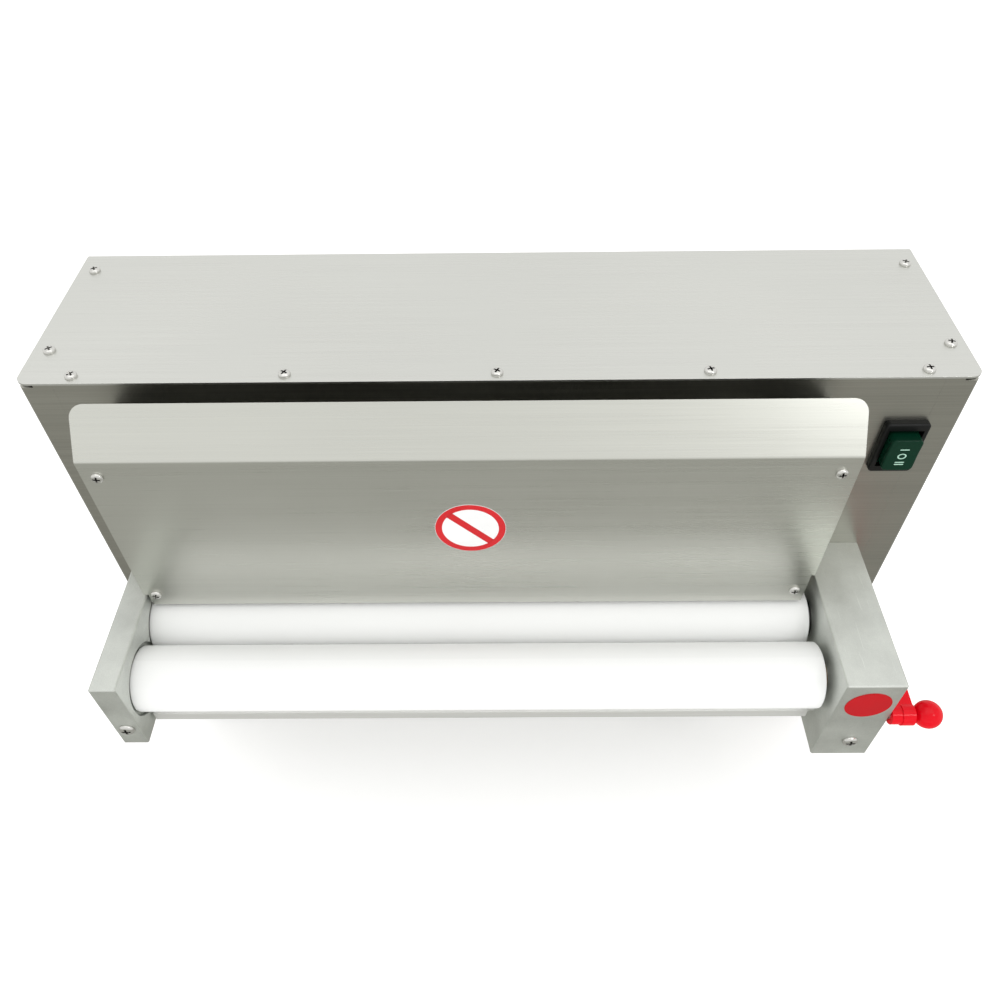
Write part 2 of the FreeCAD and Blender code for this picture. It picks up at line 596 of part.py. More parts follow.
def switch_bezel():
    """Frame with a sleeve through the casing; two studs in the sleeve carry the rocker."""
    outer = switch_box(BEZEL_HALF, -BEZEL_PROUD, 0)
    outer = outer.makeFillet(3.0, edges_where(outer, lambda e: straight_along(e, vec(0, 1, 0))))
    outer = outer.makeFillet(1.5, edges_where(outer, lambda e: e.CenterOfMass.y < -BEZEL_PROUD + EPS))
    sleeve = switch_box(SLEEVE_HALF, -1, 12)
    hollow = switch_box(OPENING_HALF, -BEZEL_PROUD - 1, 13)
    inner, outer_end = ROCKER_HALF[0] - 1.5, OPENING_HALF[0] + 0.5
    studs = [rod_x(SWITCH_X + x0, SWITCH_X + x1, PIVOT_RADIUS, ROCKER_AXIS_Y, SWITCH_Z)
             for x0, x1 in ((-outer_end, -inner), (inner, outer_end))]
    hollow = cut(hollow, studs).Solids[0]
    return cut(join([outer, sleeve]), [hollow])


def switch_body():
    body = switch_box((12.0, 17.0), 12, 30)
    tabs = [box(SWITCH_X + dx - 0.4, SWITCH_X + dx + 0.4, 29, 38, SWITCH_Z + dz - 3, SWITCH_Z + dz + 3)
            for dx in (-5, 5) for dz in (-9, 0, 9)]
    return join([body] + tabs)


def switch_rocker():
    """Deep three-position rocker with rounded corners and a bore for its two pivot studs."""
    half_width, half_height = ROCKER_HALF
    front = ROCKER_FRONT_Y
    section = [(front, -half_height), (front + 0.5, 0), (front, half_height),
               (-1.0, half_height), (6.0, 9.0), (8.0, 0), (6.0, -9.0), (-1.0, -half_height)]
    rocker = profile_x([(y, SWITCH_Z + z) for y, z in section], SWITCH_X - half_width, SWITCH_X + half_width)
    corners = edges_where(rocker, lambda e: straight_along(e, vec(0, 1, 0)) and e.CenterOfMass.y < 0)
    rocker = rocker.makeFillet(3.5, corners)
    rocker = rocker.makeFillet(1.0, edges_where(rocker, lambda e: e.BoundBox.YMax < front + 0.6
                                                and abs(e.CenterOfMass.z - SWITCH_Z) > EPS))
    bore = rod_x(SWITCH_X - half_width - 1, SWITCH_X + half_width + 1, PIVOT_RADIUS + FIT,
                 ROCKER_AXIS_Y, SWITCH_Z)
    return cut(rocker, [bore])


# ---------------------------------------------------------------- front roller
def front_sleeve():
    sleeve = ring_x(*ROLLER_X, ROLLER_RADIUS, SHAFT_RADIUS, FRONT_AXIS_Y, ROLLER_AXIS_Z)
    rims = edges_where(sleeve, lambda e: isinstance(e.Curve, Part.Circle)
                       and e.Curve.Radius > ROLLER_RADIUS - EPS)
    return sleeve.makeFillet(0.8, rims)


def front_shaft():
    shaft = rod_x(-265.0, 280.5, SHAFT_RADIUS, FRONT_AXIS_Y, ROLLER_AXIS_Z)
    spigot = rod_x(280.0, 286.5, SPIGOT_RADIUS, FRONT_AXIS_Y, ROLLER_AXIS_Z)
    return join([shaft, spigot])


def gear(y, z, bore, turn):
    """Coarse spur gear with slim teeth, so that it stays in mesh as the gap opens."""
    half_root, half_mid, half_tip = 3.05, 2.15, 1.1
    middle = (GEAR_ROOT + GEAR_TIP) / 2
    x0, x1 = GEAR_X
    pieces = [rod_x(x0, x1, GEAR_ROOT, y, z)]
    flank = [(GEAR_ROOT - 1.5, half_root), (GEAR_ROOT + 0.4, half_root), (middle, half_mid),
             (GEAR_TIP, half_tip)]
    outline = flank + [(r, -w) for r, w in reversed(flank)]
    tooth = profile_x([(y + r, z + w) for r, w in outline], x0, x1)
    pieces += [turned_x(tooth, turn + 360.0 * i / GEAR_TEETH, y, z) for i in range(GEAR_TEETH)]
    blank = join(pieces)
    return cut(blank, [rod_x(x0 - 1, x1 + 1, bore, y, z)])


def front_gear():
    return gear(FRONT_AXIS_Y, ROLLER_AXIS_Z, SHAFT_RADIUS, 0.0)


def sprocket(y, bore):
    """Chain wheel whose teeth stop just short of the chain's rollers."""
    tip = SPROCKET_PITCH_RADIUS - CHAIN_ROLLER - 0.4
    root = tip - 2.4
    x0, x1 = CHAIN_MID_X - 2.2, CHAIN_MID_X + 2.2
    pieces = [rod_x(x0, x1, root, y, ROLLER_AXIS_Z), rod_x(269.0, 279.5, 14.0, y, ROLLER_AXIS_Z)]
    tooth = profile_x([(y + root - 1, ROLLER_AXIS_Z - 2.6), (y + root + 0.3, ROLLER_AXIS_Z - 2.6),
                       (y + tip, ROLLER_AXIS_Z - 1.3), (y + tip, ROLLER_AXIS_Z + 1.3),
                       (y + root + 0.3, ROLLER_AXIS_Z + 2.6), (y + root - 1, ROLLER_AXIS_Z + 2.6)],
                      x0, x1)
    pieces += [turned_x(tooth, 360.0 * i / SPROCKET_TEETH, y, ROLLER_AXIS_Z)
               for i in range(SPROCKET_TEETH)]
    return cut(join(pieces), [rod_x(268, 281, bore, y, ROLLER_AXIS_Z)])


def retaining_rings():
    """Snap rings that stop the sleeve and the sprocket from walking along the shaft."""
    places = (ROLLER_X[1], 279.5)
    rings = []
    for x in places:
        ring = ring_x(x, x + 1.0, SHAFT_RADIUS + 2.6, SHAFT_RADIUS, FRONT_AXIS_Y, ROLLER_AXIS_Z)
        gap = box(x - 1, x + 2, FRONT_AXIS_Y - 2, FRONT_AXIS_Y + 2, ROLLER_AXIS_Z, ROLLER_AXIS_Z + 20)
        rings.append(ring.cut(gap))
    return rings


def front_bushes():
    left = ring_x(-266.0, -254.2, BUSH_RADIUS, SHAFT_RADIUS + FIT, FRONT_AXIS_Y, ROLLER_AXIS_Z)
    right = ring_x(RIGHT_ARM_X[0] + 0.5, CAVITY_X0, BUSH_RADIUS, SHAFT_RADIUS + FIT,
                   FRONT_AXIS_Y, ROLLER_AXIS_Z)
    outer = ring_x(COVER_PLATE_X0, COVER_PLATE_X0 + 3.8, 8.0, SPIGOT_RADIUS + FIT,
                   FRONT_AXIS_Y, ROLLER_AXIS_Z)
    return [left, right, outer]


# ---------------------------------------------------------------- rear roller
def rear_sleeve():
    sleeve = ring_x(*ROLLER_X, ROLLER_RADIUS, 12.0, REAR_AXIS_Y, ROLLER_AXIS_Z)
    rims = edges_where(sleeve, lambda e: isinstance(e.Curve, Part.Circle)
                       and e.Curve.Radius > ROLLER_RADIUS - EPS)
    sleeve = sleeve.makeFillet(0.8, rims)
    left = rod_x(ROLLER_X[0] - 1, BALL_ROW_X[0] + BEARING_HALF, BEARING_OUTER, REAR_AXIS_Y, ROLLER_AXIS_Z)
    right = rod_x(BALL_ROW_X[1] - BEARING_HALF, ROLLER_X[1] + 1, BEARING_OUTER, REAR_AXIS_Y, ROLLER_AXIS_Z)
    return cut(sleeve, [left, right])


def rear_gear():
    """Gear with a hub that is pressed into the roller's end."""
    wheel = gear(REAR_AXIS_Y, ROLLER_AXIS_Z, 11.0, 180.0 / GEAR_TEETH)
    hub = ring_x(ROLLER_X[1] - 14.0, GEAR_X[0] + 1, REAR_HUB, 11.0, REAR_AXIS_Y, ROLLER_AXIS_Z)
    spigot = ring_x(ROLLER_X[1] - 14.0, ROLLER_X[1], BEARING_OUTER, 11.0, REAR_AXIS_Y, ROLLER_AXIS_Z)
    return join([wheel, hub, spigot])


def bearing_outer_rings():
    return [ring_x(x - BEARING_HALF, x + BEARING_HALF, BEARING_OUTER, BEARING_RACE_OUT,
                   REAR_AXIS_Y, ROLLER_AXIS_Z) for x in BALL_ROW_X]


def bearing_inner_rings():
    return [ring_x(x - BEARING_HALF, x + BEARING_HALF, BEARING_RACE_IN, SHAFT_RADIUS,
                   REAR_AXIS_Y, ROLLER_AXIS_Z) for x in BALL_ROW_X]


def ball_places():
    middle = (BEARING_RACE_IN + BEARING_RACE_OUT) / 2
    for x in BALL_ROW_X:
        for i in range(BALLS_PER_ROW):
            angle = 2 * math.pi * i / BALLS_PER_ROW
            yield vec(x, REAR_AXIS_Y + middle * math.cos(angle), ROLLER_AXIS_Z + middle * math.sin(angle))


def bearing_balls():
    return [Part.makeSphere(BALL, at) for at in ball_places()]


def bearing_cages():
    side = BALL + 0.1
    return [ring_x(x + side, x + side + 1.4, 13.7, 12.3, REAR_AXIS_Y, ROLLER_AXIS_Z) for x in BALL_ROW_X]


def axle_flat(x0):
    """Flat on the axle's end that keys it to the lever."""
    return box(x0, LEVER_X[1] + 1, LEVER_PIVOT_Y - 10, LEVER_PIVOT_Y + 10, JOURNAL_Z + 4.5, JOURNAL_Z + 9)


def eccentric_axle():
    """Fixed axle; its two end journals lie below its own centre line."""
    middle = rod_x(-252.0, 280.0, SHAFT_RADIUS, REAR_AXIS_Y, ROLLER_AXIS_Z)
    left = rod_x(-265.0, -251.0, JOURNAL_RADIUS, LEVER_PIVOT_Y, JOURNAL_Z)
    right = rod_x(279.0, LEVER_X[1] - AXLE_SHORT, JOURNAL_RADIUS, LEVER_PIVOT_Y, JOURNAL_Z)
    axle = join([left, middle, right])
    tapped = rod_x(LEVER_X[1] - SCREW_SEAT - 11, LEVER_X[1], M4, LEVER_PIVOT_Y, JOURNAL_Z)
    return cut(axle, [axle_flat(LEVER_X[0]), tapped])


def axle_bushes():
    return [ring_x(-266.0, -254.2, 9.0, JOURNAL_RADIUS + FIT, LEVER_PIVOT_Y, JOURNAL_Z),
            ring_x(COVER_PLATE_X0, RIGHT_ARM_X[1] + 0.4, 8.0, JOURNAL_RADIUS + FIT, LEVER_PIVOT_Y, JOURNAL_Z)]


# ---------------------------------------------------------------- lever and plunger
def lever_axis_point():
    angle = math.radians(180 + LEVER_DROOP)
    return (LEVER_PIVOT_Y + LEVER_LENGTH * math.cos(angle),
            JOURNAL_Z + LEVER_LENGTH * math.sin(angle))


def thickness_lever():
    """Moulded lever: stepped hub, tapering web and a stepped barrel for the index plunger."""
    x0, x1 = LEVER_X
    tip_y, tip_z = LEVER_PIVOT_Y - LEVER_LENGTH, JOURNAL_Z

    def web(start, hub_half, tip_half, end):
        return profile_x([(LEVER_PIVOT_Y, JOURNAL_Z + hub_half), (LEVER_PIVOT_Y, JOURNAL_Z - hub_half),
                          (tip_y, tip_z - tip_half), (tip_y, tip_z + tip_half)], start, end)

    def outer_boss(start, radius, y, z, chamfer):
        boss = rod_x(start, x1, radius, y, z)
        rim = edges_where(boss, lambda e: e.CenterOfMass.x > x1 - EPS and isinstance(e.Curve, Part.Circle))
        return boss.makeChamfer(chamfer, rim)

    barrel = outer_boss(LEVER_STEP_X, LEVER_BARREL, tip_y, tip_z, 0.8)
    lever = join([rod_x(x0, LEVER_STEP_X, LEVER_HUB, LEVER_PIVOT_Y, JOURNAL_Z),
                  outer_boss(x0, LEVER_CAP, LEVER_PIVOT_Y, JOURNAL_Z, 1.5),
                  web(x0, 9.5, 6.4, LEVER_STEP_X), web(LEVER_STEP_X - 1, 7.2, 6.2, x1 - 0.8),
                  rod_x(x0, LEVER_STEP_X, LEVER_BARREL - 0.8, tip_y, tip_z), barrel])
    lever = turned_x(lever, LEVER_DROOP, LEVER_PIVOT_Y, JOURNAL_Z)
    tip_y, tip_z = lever_axis_point()
    shaft_hole = rod_x(x0 - 1, x1 - AXLE_SHORT, JOURNAL_RADIUS, LEVER_PIVOT_Y, JOURNAL_Z)
    shaft_hole = shaft_hole.cut(axle_flat(x0 - 2))
    tools = [shaft_hole, rod_x(x1 - AXLE_SHORT - 1, x1 + 1, M4 + 0.2, LEVER_PIVOT_Y, JOURNAL_Z),
             rod_x(x1 - SCREW_SEAT, x1 + 1, M4_HEAD + 0.3, LEVER_PIVOT_Y, JOURNAL_Z),
             rod_x(x0 - 1, x1 + 1, PLUNGER_RADIUS + FIT, tip_y, tip_z),
             rod_x(x0 + 4.0, x1 - 4.0, 5.2, tip_y, tip_z)]
    return cut(lever, tools)


def lever_screw():
    screw = pan_screw(M4, 10.0, M4_HEAD, M4_HIGH)
    return place(screw, vec(LEVER_X[1] - SCREW_SEAT, LEVER_PIVOT_Y, JOURNAL_Z), vec(1, 0, 0), 30)


def plunger_pin():
    y, z = lever_axis_point()
    pin = rod_x(PLUNGER_TIP_X, BALL_X - 6.0, PLUNGER_RADIUS, y, z)
    collar = rod_x(LEVER_X[0] + 7.2, LEVER_X[0] + 8.6, 4.9, y, z)
    return join([pin, collar])


def plunger_knob():
    y, z = lever_axis_point()
    ball = Part.makeSphere(BALL_RADIUS, vec(BALL_X, y, z))
    return cut(ball, [rod_x(BALL_X - BALL_RADIUS - 1, BALL_X - 6.0, PLUNGER_RADIUS, y, z)])


def plunger_spring():
    """Spring between the pin's collar and the barrel's end, drawn as separate turns."""
    y, z = lever_axis_point()
    x0, x1 = LEVER_X[0] + 8.6, LEVER_X[1] - 4.0
    coils = []
    turns = 3
    wire = 0.6
    for i in range(turns):
        x = x0 + wire + 0.05 + i * (x1 - x0 - 2 * wire - 0.1) / (turns - 1)
        coils.append(Part.makeTorus(4.2, wire, vec(x, y, z), vec(1, 0, 0)))
    return coils


# ---------------------------------------------------------------- scrapers
def front_scraper():
    y, z = FRONT_AXIS_Y, ROLLER_AXIS_Z
    section = [(-109.0, 190.6), (-109.0, 199.0), (-100.6, 201.2), (-97.6, 197.6), (-97.0, 190.6)]
    bar = profile_x(section, *SCRAPER_X)
    bar = cut(bar, [rod_x(SCRAPER_X[0] - 1, SCRAPER_X[1] + 1, ROLLER_RADIUS + 0.5, y, z)])
    pins = [rod_x(-256.0, SCRAPER_X[0] + 12, PIN_RADIUS, SCRAPER_PIN_Y, SCRAPER_PIN_Z),
            rod_x(SCRAPER_X[1] - 12, 256.0, PIN_RADIUS, SCRAPER_PIN_Y, SCRAPER_PIN_Z)]
    return join([bar] + pins)


def rear_scraper():
    y, z = REAR_AXIS_Y, ROLLER_AXIS_Z
    section = [(-40.0, 189.0), (-28.0, 189.0), (-28.0, 198.5), (-33.0, 200.0), (-40.0, 194.0)]
    bar = profile_x(section, *SCRAPER_X)
    pins = [rod_x(-256.0, SCRAPER_X[0] + 12, PIN_RADIUS, REAR_SCRAPER_PIN_Y, REAR_SCRAPER_PIN_Z),
            rod_x(SCRAPER_X[1] - 12, 256.0, PIN_RADIUS, REAR_SCRAPER_PIN_Y, REAR_SCRAPER_PIN_Z)]
    return join([cut(bar, [rod_x(SCRAPER_X[0] - 1, SCRAPER_X[1] + 1, ROLLER_RADIUS + 3.6, y, z)])] + pins)


# ---------------------------------------------------------------- chain and motor
def chain_point(distance):
    """Y, Z and direction of travel at a distance along the closed loop."""
    radius = SPROCKET_PITCH_RADIUS
    half_turn = math.pi * radius
    lap = 2 * (CHAIN_SPAN + half_turn)
    distance = distance % lap
    if distance < CHAIN_SPAN:
        return FRONT_AXIS_Y + distance, ROLLER_AXIS_Z + radius
    distance -= CHAIN_SPAN
    if distance < half_turn:
        angle = math.pi / 2 - distance / radius
        return MOTOR_AXIS_Y + radius * math.cos(angle), ROLLER_AXIS_Z + radius * math.sin(angle)
    distance -= half_turn
    if distance < CHAIN_SPAN:
        return MOTOR_AXIS_Y - distance, ROLLER_AXIS_Z - radius
    angle = -math.pi / 2 - (distance - CHAIN_SPAN) / radius
    return FRONT_AXIS_Y + radius * math.cos(angle), ROLLER_AXIS_Z + radius * math.sin(angle)


def chain_link(start, end, inner):
    """One link: two waisted plates joined by bushes, or by pins on the outer links."""
    plate = 0.8
    half_width = 3.0 if inner else 3.0 + plate + 0.1
    mid = CHAIN_MID_X
    reach, high = 3.4, 2.6
    pieces = []
    dy, dz = end[0] - start[0], end[1] - start[1]
    size = math.hypot(dy, dz)
    uy, uz = dy / size, dz / size
    waist = [(start[0] - uz * high, start[1] + uy * high), (end[0] - uz * high, end[1] + uy * high),
             (end[0] + uz * high, end[1] - uy * high), (start[0] + uz * high, start[1] - uy * high)]
    for x in (mid - half_width - plate, mid + half_width):
        pieces.append(profile_x(waist, x, x + plate))
        pieces += [rod_x(x, x + plate, reach, *point) for point in (start, end)]
    for point in (start, end):
        if inner:
            pieces.append(rod_x(mid - half_width - EPS, mid + half_width + EPS, CHAIN_ROLLER, *point))
        else:
            pieces.append(rod_x(mid - half_width - plate - 0.3, mid + half_width + plate + 0.3, 1.5, *point))
    link = join(pieces)
    if inner:
        link = cut(link, [rod_x(mid - 8, mid + 8, 1.6, *point) for point in (start, end)])
    return link


def drive_chain():
    joints = [chain_point(i * CHAIN_PITCH) for i in range(CHAIN_LINKS)]
    return [chain_link(joints[i], joints[(i + 1) % CHAIN_LINKS], i % 2 == 0)
            for i in range(CHAIN_LINKS)]


def motor_shaft():
    shaft = rod_x(MOTOR_FACE_X - 36, 281.0, 7.0, MOTOR_AXIS_Y, ROLLER_AXIS_Z)
    key_end = rod_x(280.0, 282.0, 6.2, MOTOR_AXIS_Y, ROLLER_AXIS_Z)
    return join([shaft, key_end])


def motor_mount():
    """Upright plate with a foot, bolted to the base plate."""
    upright = box(MOTOR_FACE_X, MOTOR_FACE_X + 5, 24, 124, BASE_Z + BASE_THICK, 275)
    foot = box(180, MOTOR_FACE_X + 1, 24, 124, BASE_Z + BASE_THICK, BASE_Z + BASE_THICK + 5)
    gussets = [box(200, MOTOR_FACE_X + 1, y, y + 4, BASE_Z + BASE_THICK, 120) for y in (24, 120)]
    holes = [rod_z(BASE_Z, BASE_Z + 12, M5, x, y) for x, y in MOUNT_FOOT_BOLTS]
    holes.append(rod_x(MOTOR_FACE_X - 1, MOTOR_FACE_X + 6, 16.0, MOTOR_AXIS_Y, ROLLER_AXIS_Z))
    holes += [rod_x(MOTOR_FACE_X - 1, MOTOR_FACE_X + 6, M5, y, z) for y, z in motor_bolt_places()]
    return cut(join([upright, foot] + gussets), holes)


def motor_bolt_places():
    spread = 32.0
    return [(MOTOR_AXIS_Y + dy, ROLLER_AXIS_Z + dz) for dy in (-spread, spread) for dz in (-spread, spread)]


def gearbox_housing():
    half = GEARBOX_HALF
    x0 = MOTOR_FACE_X - GEARBOX_LENGTH
    block = box(x0, MOTOR_FACE_X, MOTOR_AXIS_Y - half, MOTOR_AXIS_Y + half,
                ROLLER_AXIS_Z - half, ROLLER_AXIS_Z + half)
    block = block.makeFillet(7.0, edges_where(block, lambda e: straight_along(e, vec(1, 0, 0))))
    nose = rod_x(MOTOR_FACE_X - 1, MOTOR_FACE_X + 4, 15.0, MOTOR_AXIS_Y, ROLLER_AXIS_Z)
    holes = [rod_x(x0 + 10, MOTOR_FACE_X + 5, 7.0 + FIT, MOTOR_AXIS_Y, ROLLER_AXIS_Z)]
    holes += [rod_x(MOTOR_FACE_X - 16, MOTOR_FACE_X + 1, M5, y, z) for y, z in motor_bolt_places()]
    return cut(join([block, nose]), holes)


def motor_housing():
    """Finned motor can with a fan shroud at its far end."""
    x1 = MOTOR_FACE_X - GEARBOX_LENGTH
    x0 = x1 - MOTOR_LENGTH
    radius = MOTOR_RADIUS
    can = rod_x(x0 + SHROUD_LENGTH, x1, radius, MOTOR_AXIS_Y, ROLLER_AXIS_Z)
    shroud = rod_x(x0, x0 + SHROUD_LENGTH, radius + 3.5, MOTOR_AXIS_Y, ROLLER_AXIS_Z)
    fins = []
    for i in range(FIN_COUNT):
        fin = box(x0 + SHROUD_LENGTH + 2, x1 - 10, MOTOR_AXIS_Y - 0.8, MOTOR_AXIS_Y + 0.8,
                  ROLLER_AXIS_Z + radius - 1, ROLLER_AXIS_Z + radius + 4)
        fins.append(turned_x(fin, i * 360.0 / FIN_COUNT, MOTOR_AXIS_Y, ROLLER_AXIS_Z))
    slots = []
    for i in range(AIR_SLOTS):
        slot = box(x0 - 1, x0 + 3, MOTOR_AXIS_Y - 1.5, MOTOR_AXIS_Y + 1.5,
                   ROLLER_AXIS_Z + 12, ROLLER_AXIS_Z + 32)
        slots.append(turned_x(slot, i * 360.0 / AIR_SLOTS, MOTOR_AXIS_Y, ROLLER_AXIS_Z))
    return cut(join([can, shroud] + fins), slots)


def motor_screws():
    face = pan_screw(M5, 16.0, M5_HEAD, M5_HIGH)
    made = [place(face, vec(MOTOR_FACE_X + 5, y, z), vec(1, 0, 0), twist_for(i))
            for i, (y, z) in enumerate(motor_bolt_places())]
    foot = pan_screw(M5, 5.0 + BASE_THICK, M5_HEAD, M5_HIGH)
    made += [place(foot, vec(x, y, BASE_Z + BASE_THICK + 5), vec(0, 0, 1), twist_for(i))
             for i, (x, y) in enumerate(MOUNT_FOOT_BOLTS)]
    return made


# ---------------------------------------------------------------- electrics
def capacitor():
    can = rod_x(*CAPACITOR_X, 16.0, CAPACITOR_Y, CAPACITOR_Z)
    ends = edges_where(can, lambda e: isinstance(e.Curve, Part.Circle))
    tabs = [box(CAPACITOR_X[0] - 8, CAPACITOR_X[0] + 1, CAPACITOR_Y + dy - 0.4, CAPACITOR_Y + dy + 0.4,
                CAPACITOR_Z - 3, CAPACITOR_Z + 3) for dy in (-5, 5)]
    return join([can.makeFillet(2.0, ends)] + tabs)


def capacitor_clip():
    x = sum(CAPACITOR_X) / 2
    band = ring_x(x - 6, x + 6, 17.5, 16.0, CAPACITOR_Y, CAPACITOR_Z)
    foot = box(x - 6, x + 6, CAPACITOR_Y - 17, CAPACITOR_Y + 17, BASE_Z + BASE_THICK, BASE_Z + BASE_THICK + 3)
    gap = rod_x(x - 7, x + 7, 16.0, CAPACITOR_Y, CAPACITOR_Z)
    return cut(join([band, foot]), [gap])


def terminal_block():
    x0, z0 = -200.0, BASE_Z + BASE_THICK
    block = box(x0, x0 + 70, 90, 112, z0, z0 + 17)
    wells = [rod_z(z0 + 8, z0 + 18, 3.0, x0 + 7 + 11.2 * i, y) for i in range(6) for y in (96, 106)]
    return cut(block, wells)


def cable_gland():
    """Cord inlet through the left wall; its bore takes an 8 mm cord."""
    x = CASING_LEFT
    flange = Part.makeCylinder(GLAND_FLANGE, 5.0, vec(x - 5, GLAND_Y, GLAND_Z), vec(1, 0, 0))
    body = rod_x(x - 5, x + 14, GLAND_THREAD, GLAND_Y, GLAND_Z)
    cap = Part.makeCone(8.0, 10.0, 14.0, vec(x - 19, GLAND_Y, GLAND_Z), vec(1, 0, 0))
    return cut(join([flange, body, cap]), [rod_x(x - 21, x + 16, CORD_RADIUS, GLAND_Y, GLAND_Z)])


def gland_nut():
    x = CASING_LEFT + SHEET
    turns = [math.radians(60 * i) for i in range(6)]
    hexagon = [(GLAND_Y + GLAND_FLANGE * math.cos(a), GLAND_Z + GLAND_FLANGE * math.sin(a)) for a in turns]
    return cut(profile_x(hexagon, x, x + 5), [rod_x(x - 1, x + 6, GLAND_THREAD, GLAND_Y, GLAND_Z)])


def wiring():
    """Three stiff bundles of insulated wire between inlet, terminals, switch and motor."""
    def bundle(points, radius):
        legs = []
        for a, b in zip(points, points[1:]):
            direction = b.sub(a)
            legs.append(Part.makeCylinder(radius, direction.Length, a, direction))
        knees = [Part.makeSphere(radius, p) for p in points[1:-1]]
        return join(legs + knees)
    deck = BASE_Z + BASE_THICK + 4.0
    inlet = bundle([vec(CASING_LEFT + 14.5, GLAND_Y, GLAND_Z), vec(-250, GLAND_Y, GLAND_Z),
                    vec(-225, 101, deck + 3), vec(-200.0, 101, deck + 3)], 3.0)
    to_motor = bundle([vec(-130.0, 95, deck + 3), vec(-105, 95, deck + 3), vec(-80, 60, deck),
                       vec(60, 60, deck), vec(110, MOTOR_AXIS_Y, 110),
                       vec(110, MOTOR_AXIS_Y, ROLLER_AXIS_Z - 40.2)], WIRE_RADIUS)
    to_switch = bundle([vec(-130.0, 107, deck + 3), vec(-115, 107, deck + 3), vec(-100, 130, deck),
                        vec(262, 130, deck), vec(300, 134, 120), vec(300, 60, 340),
                        vec(SWITCH_X, 39, SWITCH_Z)], WIRE_RADIUS)
    return [inlet, to_motor, to_switch]


# ---------------------------------------------------------------- write every node
def main():
    os.makedirs("parts", exist_ok=True)
    nodes = {
        "casing_shell": casing_shell(), "top_rear_cover": [top_rear_cover()],
        "cover_screws": cover_screws(), "base_plate": [base_plate()],
        "rubber_feet": feet(), "foot_screws": foot_screws(),
        "left_arm": [left_arm()], "right_arm": [right_arm()],
        "gear_cover": [gear_cover()], "gear_cover_screws": gear_cover_screws(),
        "arm_bolts": arm_bolts(), "arm_backing_plate": [backing_plate()],
        "arm_front_screws": arm_front_screws(), "marker_disc": [marker_disc()],
        "feed_chute": [feed_chute()], "chute_brackets": chute_brackets(),
        "chute_screws": chute_screws(), "safety_label": [safety_label()],
        "switch_bezel": [switch_bezel()], "switch_body": [switch_body()],
        "switch_rocker": [switch_rocker()],
        "front_roller_sleeve": [front_sleeve()], "front_roller_shaft": [front_shaft()],
        "front_gear": [front_gear()], "front_sprocket": [sprocket(FRONT_AXIS_Y, SHAFT_RADIUS)],
        "retaining_rings": retaining_rings(), "front_roller_bushes": front_bushes(),
        "rear_roller_sleeve": [rear_sleeve()], "rear_gear": [rear_gear()],
        "bearing_outer_rings": bearing_outer_rings(), "bearing_inner_rings": bearing_inner_rings(),
        "bearing_balls": bearing_balls(), "bearing_cages": bearing_cages(),
        "eccentric_axle": [eccentric_axle()], "axle_bushes": axle_bushes(),
        "thickness_lever": [thickness_lever()], "lever_screw": [lever_screw()],
        "plunger_pin": [plunger_pin()], "plunger_knob": [plunger_knob()],
        "plunger_spring": plunger_spring(),
        "front_scraper": [front_scraper()], "rear_scraper": [rear_scraper()],
        "drive_chain": drive_chain(), "motor_sprocket": [sprocket(MOTOR_AXIS_Y, 7.0)],
        "motor_shaft": [motor_shaft()], "motor_mount": [motor_mount()],
        "gearbox_housing": [gearbox_housing()], "motor_housing": [motor_housing()],
        "motor_screws": motor_screws(), "capacitor": [capacitor()],
        "capacitor_clip": [capacitor_clip()], "terminal_block": [terminal_block()],
        "cable_gland": [cable_gland()], "gland_nut": [gland_nut()],
        "internal_wiring": wiring(),
    }
    for name, shapes in nodes.items():
        save(name, shapes)
    print(len(nodes), "nodes")


main()
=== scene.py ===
# %% [markdown]
# # A bench-top dough sheeter
# A baker feeds a ball of dough down the steel chute. Two white rollers squeeze it flat, and the
# sheet drops out below. The whole machine, with every size and every moving joint, is already
# designed and packed. This notebook loads that design as a fixed frame and gives it its looks:
# brushed stainless sheet, machined aluminium, polyethylene, moulded plastic and bright screws.

# %% Load the frame
import json
import math
import random

import bmesh
import bpy
from mathutils import Matrix, Vector
from mathutils.bvhtree import BVHTree


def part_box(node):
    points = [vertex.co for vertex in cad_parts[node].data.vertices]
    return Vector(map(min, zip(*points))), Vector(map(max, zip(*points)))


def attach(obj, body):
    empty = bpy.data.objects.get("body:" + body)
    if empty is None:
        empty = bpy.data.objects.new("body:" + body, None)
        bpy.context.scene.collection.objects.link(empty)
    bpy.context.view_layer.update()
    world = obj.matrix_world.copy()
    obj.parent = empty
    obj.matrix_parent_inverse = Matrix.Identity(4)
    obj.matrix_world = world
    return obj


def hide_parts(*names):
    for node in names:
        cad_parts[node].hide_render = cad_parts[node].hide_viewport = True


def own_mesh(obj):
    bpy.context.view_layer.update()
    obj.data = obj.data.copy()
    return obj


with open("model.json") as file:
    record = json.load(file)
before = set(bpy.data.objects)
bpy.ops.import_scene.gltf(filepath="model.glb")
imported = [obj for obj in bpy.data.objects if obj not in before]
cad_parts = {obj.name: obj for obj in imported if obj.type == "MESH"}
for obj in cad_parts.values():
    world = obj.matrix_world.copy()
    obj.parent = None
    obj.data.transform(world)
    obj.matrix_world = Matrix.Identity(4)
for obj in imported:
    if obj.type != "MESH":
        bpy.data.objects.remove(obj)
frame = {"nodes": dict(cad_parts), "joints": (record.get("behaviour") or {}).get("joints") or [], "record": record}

MM = 0.001
nodes = frame["nodes"]
body_of_node = {n: b for b, ns in frame["record"]["behaviour"]["bodies"].items() for n in ns}
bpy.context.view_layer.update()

# %% [markdown]
# ## Places
# Pieces take their places from the design's own boxes. The cover's top, the casing's front face
# and the nominal middle of the gap between the arms give three planes that the camera is set out
# from.

